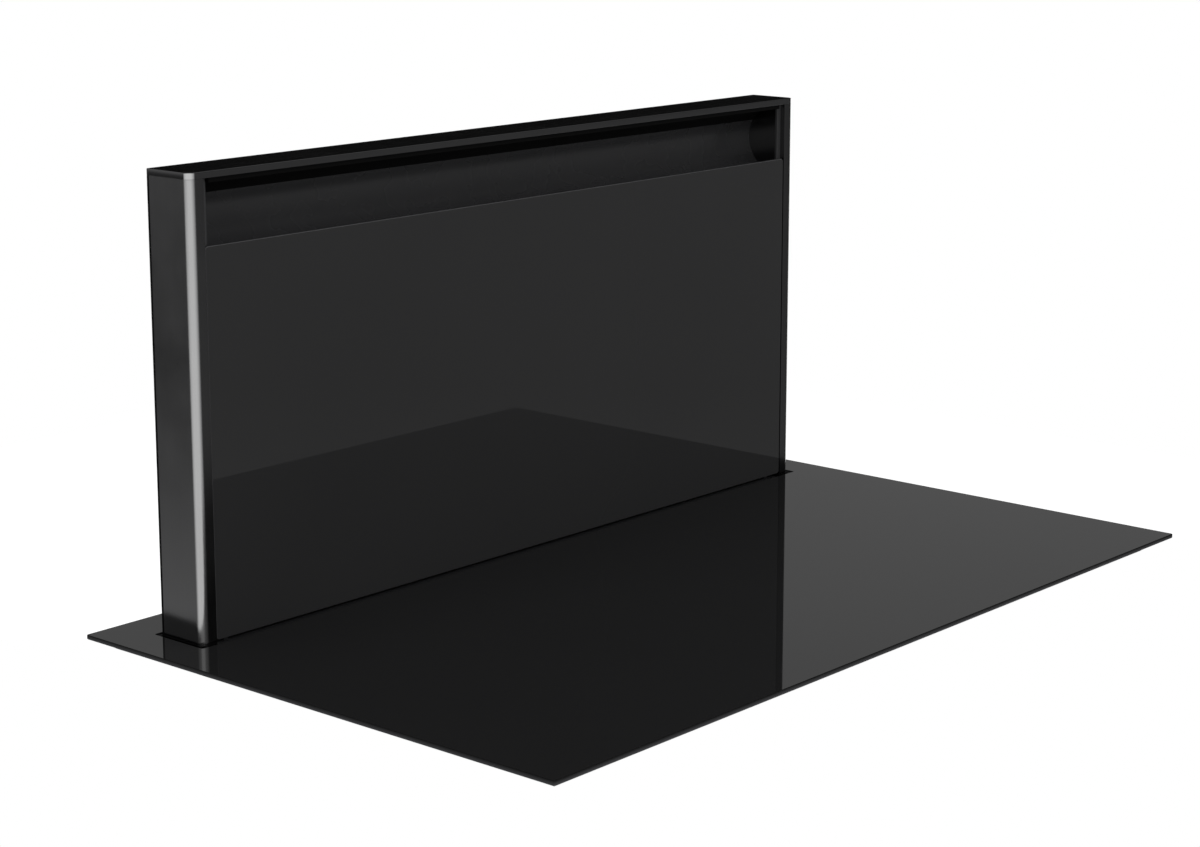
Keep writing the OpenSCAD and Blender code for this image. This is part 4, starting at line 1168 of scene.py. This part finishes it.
# Finishes that a node takes in place of its slot's, and how far its edges are rounded
OWN_FINISH = {"front_glass": "panel_glass", "glass_plate": "plate_glass"}
EDGE = 0.0003
THIN = {"panel_back": 0.0001, "flap_pin": 0.0001, "rear_panel": 0.0002}


def dress_cad_nodes():
    """The CAD nodes that stay get their slot's finish and rounded edges."""
    for name, slot in SLOTS.items():
        obj = frame["nodes"][name]
        paint(obj, OWN_FINISH.get(name, slot))
        if not obj.hide_render:
            soften(obj, THIN.get(name, EDGE))


# The stage: a floor that keeps the object's shadow, and a card that stands for the worktop
FLOOR_DROP = 0.0005
FLOOR_HALF = 3.0
FLOOR_GLOW = 0.78
FLOOR_PAPER = (0.36, 0.36, 0.36, 1)
CARD_NEAR = 0.5
CARD_OUT = 0.2


def stage_piece(name, points):
    """A flat piece of the stage, and the empty node tree of its material."""
    bm = bmesh.new()
    bm.faces.new([bm.verts.new(p) for p in points])
    made = mesh_object(name, bm)
    material = bpy.data.materials.new(name + "_white")
    made.data.materials.append(material)
    return made, Tree(material)


def make_floor():
    """White where the light reaches it, and light grey in the object's shadow."""
    h = FLOOR_HALF
    points = stand(rectangle(-h, -h, h, h), "z", cad_bounds[0].z - FLOOR_DROP)
    floor, tree = stage_piece("floor", points)
    seen = tree.node("LightPath").outputs["Is Camera Ray"]
    glow = tree.node("Emission", {"Strength": tree.math("MULTIPLY", seen, FLOOR_GLOW)})
    paper = tree.node("BsdfDiffuse", {"Color": FLOOR_PAPER})
    both = tree.node("AddShader", {0: glow.outputs[0], 1: paper.outputs[0]})
    tree.node("OutputMaterial", {"Surface": both.outputs[0]})
    floor.visible_glossy = False
    floor.visible_shadow = False


def make_worktop_card():
    """A white card close to the camera. In the photo a worktop hides what hangs below the plate."""
    low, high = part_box("glass_plate")
    turn = bpy.context.scene.camera.rotation_euler.to_matrix()
    ahead = turn @ Vector((0, 0, -1))
    down = turn @ Vector((0, -1, 0)) * CARD_OUT
    aside = turn @ Vector((1, 0, 0)) * CARD_OUT

    def on_card(x, y):
        ray = Vector((x, y, low.z)) - CAMERA_PLACE
        return CAMERA_PLACE + ray * (CARD_NEAR / ray.dot(ahead))

    left = on_card(low.x, high.y)
    near = on_card(low.x, low.y)
    right = on_card(high.x, low.y)
    ends = [right + aside, right + aside + down, left - aside + down, left - aside]
    card, tree = stage_piece("worktop_card", [left, near, right] + ends)
    tree.node("OutputMaterial", {"Surface": tree.node("Emission").outputs[0]})
    for ray in ("diffuse", "glossy", "transmission", "shadow", "volume_scatter"):
        setattr(card, "visible_" + ray, False)


# What the gloss shows, by direction, in degrees: the white surroundings, and the dark cards and
# the graded ones that a studio stands round a black object. Azimuth runs from +X towards +Y.
AROUND = ((-90, 0.6), (-30, 0.9), (-4, 1.0), (6, 1.0), (12, 0.3), (45, 0.3), (60, 0.9), (90, 0.9))
SECTORS = (
    # azimuth from, to, softness, (elevation, level) from below to above
    (-4, 82, 4, ((-30, 0.9), (-4, 1.0), (-2.5, 0.006), (10.5, 0.006), (11.5, 0.26), (45, 0.3))),
    (60, 118, 4, ((-60, 0.8), (-32, 0.4), (1, 0.3), (10, 0.3))),
    (119, 158, 8, ((-40, 0.9), (-17, 0.66), (-15.5, 0.42), (-14.4, 0.26), (-12.3, 0.12),
                   (-10.5, 0.07), (-8.6, 0.12), (-7.2, 0.32), (0, 0.6), (10, 0.3))),
    (295, 352, 10, ((-90, 0.9), (-50, 0.9), (-30, 0.42), (-18, 0.30), (-14, 0.20), (-12, 0.157),
                    (-7, 0.157), (0, 0.12), (10, 0.05), (30, 0.02), (60, 0.9))),
    (330, 366, 6, ((-25, 0.9), (-17, 0.03), (0, 0.03), (30, 0.02), (60, 0.9))),
    (160, 199, 6, ((-30, 0.9), (-5, 1.0), (-2.5, 0.02), (9, 0.02), (12, 0.3), (60, 0.9))),
    (200, 244, 12, ((-60, 0.7), (-40, 0.5), (-22, 0.5), (-19.5, 0.95), (-4, 1.0), (22, 0.8),
                    (32, 0.3), (60, 0.9))),
    (250, 290, 6, ((-30, 0.9), (-5, 1.0), (-2.5, 0.35), (9, 0.35), (12, 0.3), (60, 0.9))),
)
PEAK = 2.0
DIFFUSE_LEVEL = 0.55


def make_world():
    world = bpy.data.worlds.new("world")
    bpy.context.scene.world = world
    tree = Tree(world)

    def step(value, edge, softness):
        return tree.span(value, 0.0, 1.0, edge - softness / 2, edge + softness / 2, "SMOOTHSTEP")

    def ramp(place, stops):
        made = tree.node("ValToRGB", {"Fac": place})
        elements = made.color_ramp.elements
        while len(elements) < len(stops):
            elements.new(0.5)
        # all places first, because they may change the elements' order
        for element, (elevation, level) in zip(elements, stops):
            element.position = (elevation + 90) / 180
        for element, (elevation, level) in zip(elements, stops):
            element.color = (level / PEAK,) * 3 + (1,)
        return tree.math("MULTIPLY", made.outputs["Color"], PEAK)

    def mix(factor, a, b):
        return tree.node("Mix", {"Factor": factor, "A": a, "B": b}).outputs["Result"]

    x, y, z = tree.coordinates("Generated")
    azimuth = tree.math("WRAP", tree.math("DEGREES", tree.math("ARCTAN2", y, x)), 360.0, 0.0)
    elevation = tree.math("DEGREES", tree.math("ARCSINE", z))
    place = tree.math("DIVIDE", tree.math("ADD", elevation, 90.0), 180.0)
    level = ramp(place, AROUND)
    for az0, az1, softness, stops in SECTORS:
        across = tree.math("MULTIPLY", step(azimuth, az0, softness),
                           tree.math("SUBTRACT", 1.0, step(azimuth, az1, softness)))
        level = mix(across, level, ramp(place, stops))
    path = tree.node("LightPath").outputs
    lit = mix(path["Is Glossy Ray"], DIFFUSE_LEVEL, level)
    clear = tree.math("MAXIMUM", path["Is Camera Ray"], path["Is Transmission Ray"])
    background = tree.node("Background", {"Color": (1, 1, 1, 1), "Strength": mix(clear, lit, 1.0)})
    tree.node("OutputWorld", {"Surface": background.outputs[0]})


# Soft lamps: name, place, size and power
LAMPS = (
    ("lamp_top", (0.0, -0.3, 2.6), 2.6, 42),
    ("lamp_front", (-1.6, -2.6, 1.4), 1.8, 30),
    ("lamp_right", (2.6, -1.6, 1.2), 1.6, 18),
    ("lamp_back", (0.6, 2.8, 1.4), 1.8, 18),
)


def make_lamps():
    for name, place, size, power in LAMPS:
        data = bpy.data.lights.new(name, "AREA")
        data.shape = "SQUARE"
        data.size = size
        data.energy = power
        lamp = link(name, data)
        lamp.location = place
        aim = Vector() - Vector(place)
        lamp.rotation_euler = aim.to_track_quat("-Z", "Y").to_euler()
        lamp.visible_camera = False
        lamp.visible_glossy = False


make_camera()
make_glass_plate()
make_cap()
make_front_glass()
make_tower_end(1, "tower_end_right")
make_tower_end(-1, "tower_end_left")
make_deflector()
make_light_bar()
make_shaft_details()
make_panel_screws()
make_tray_details()
make_coils()
make_scroll()
make_motor()
make_duct_outlet()
make_lid()
make_gland()
make_conduit()
make_clamp_screws()
make_tower_rivets()
dress_cad_nodes()
make_floor()
make_worktop_card()
make_world()
make_lamps()
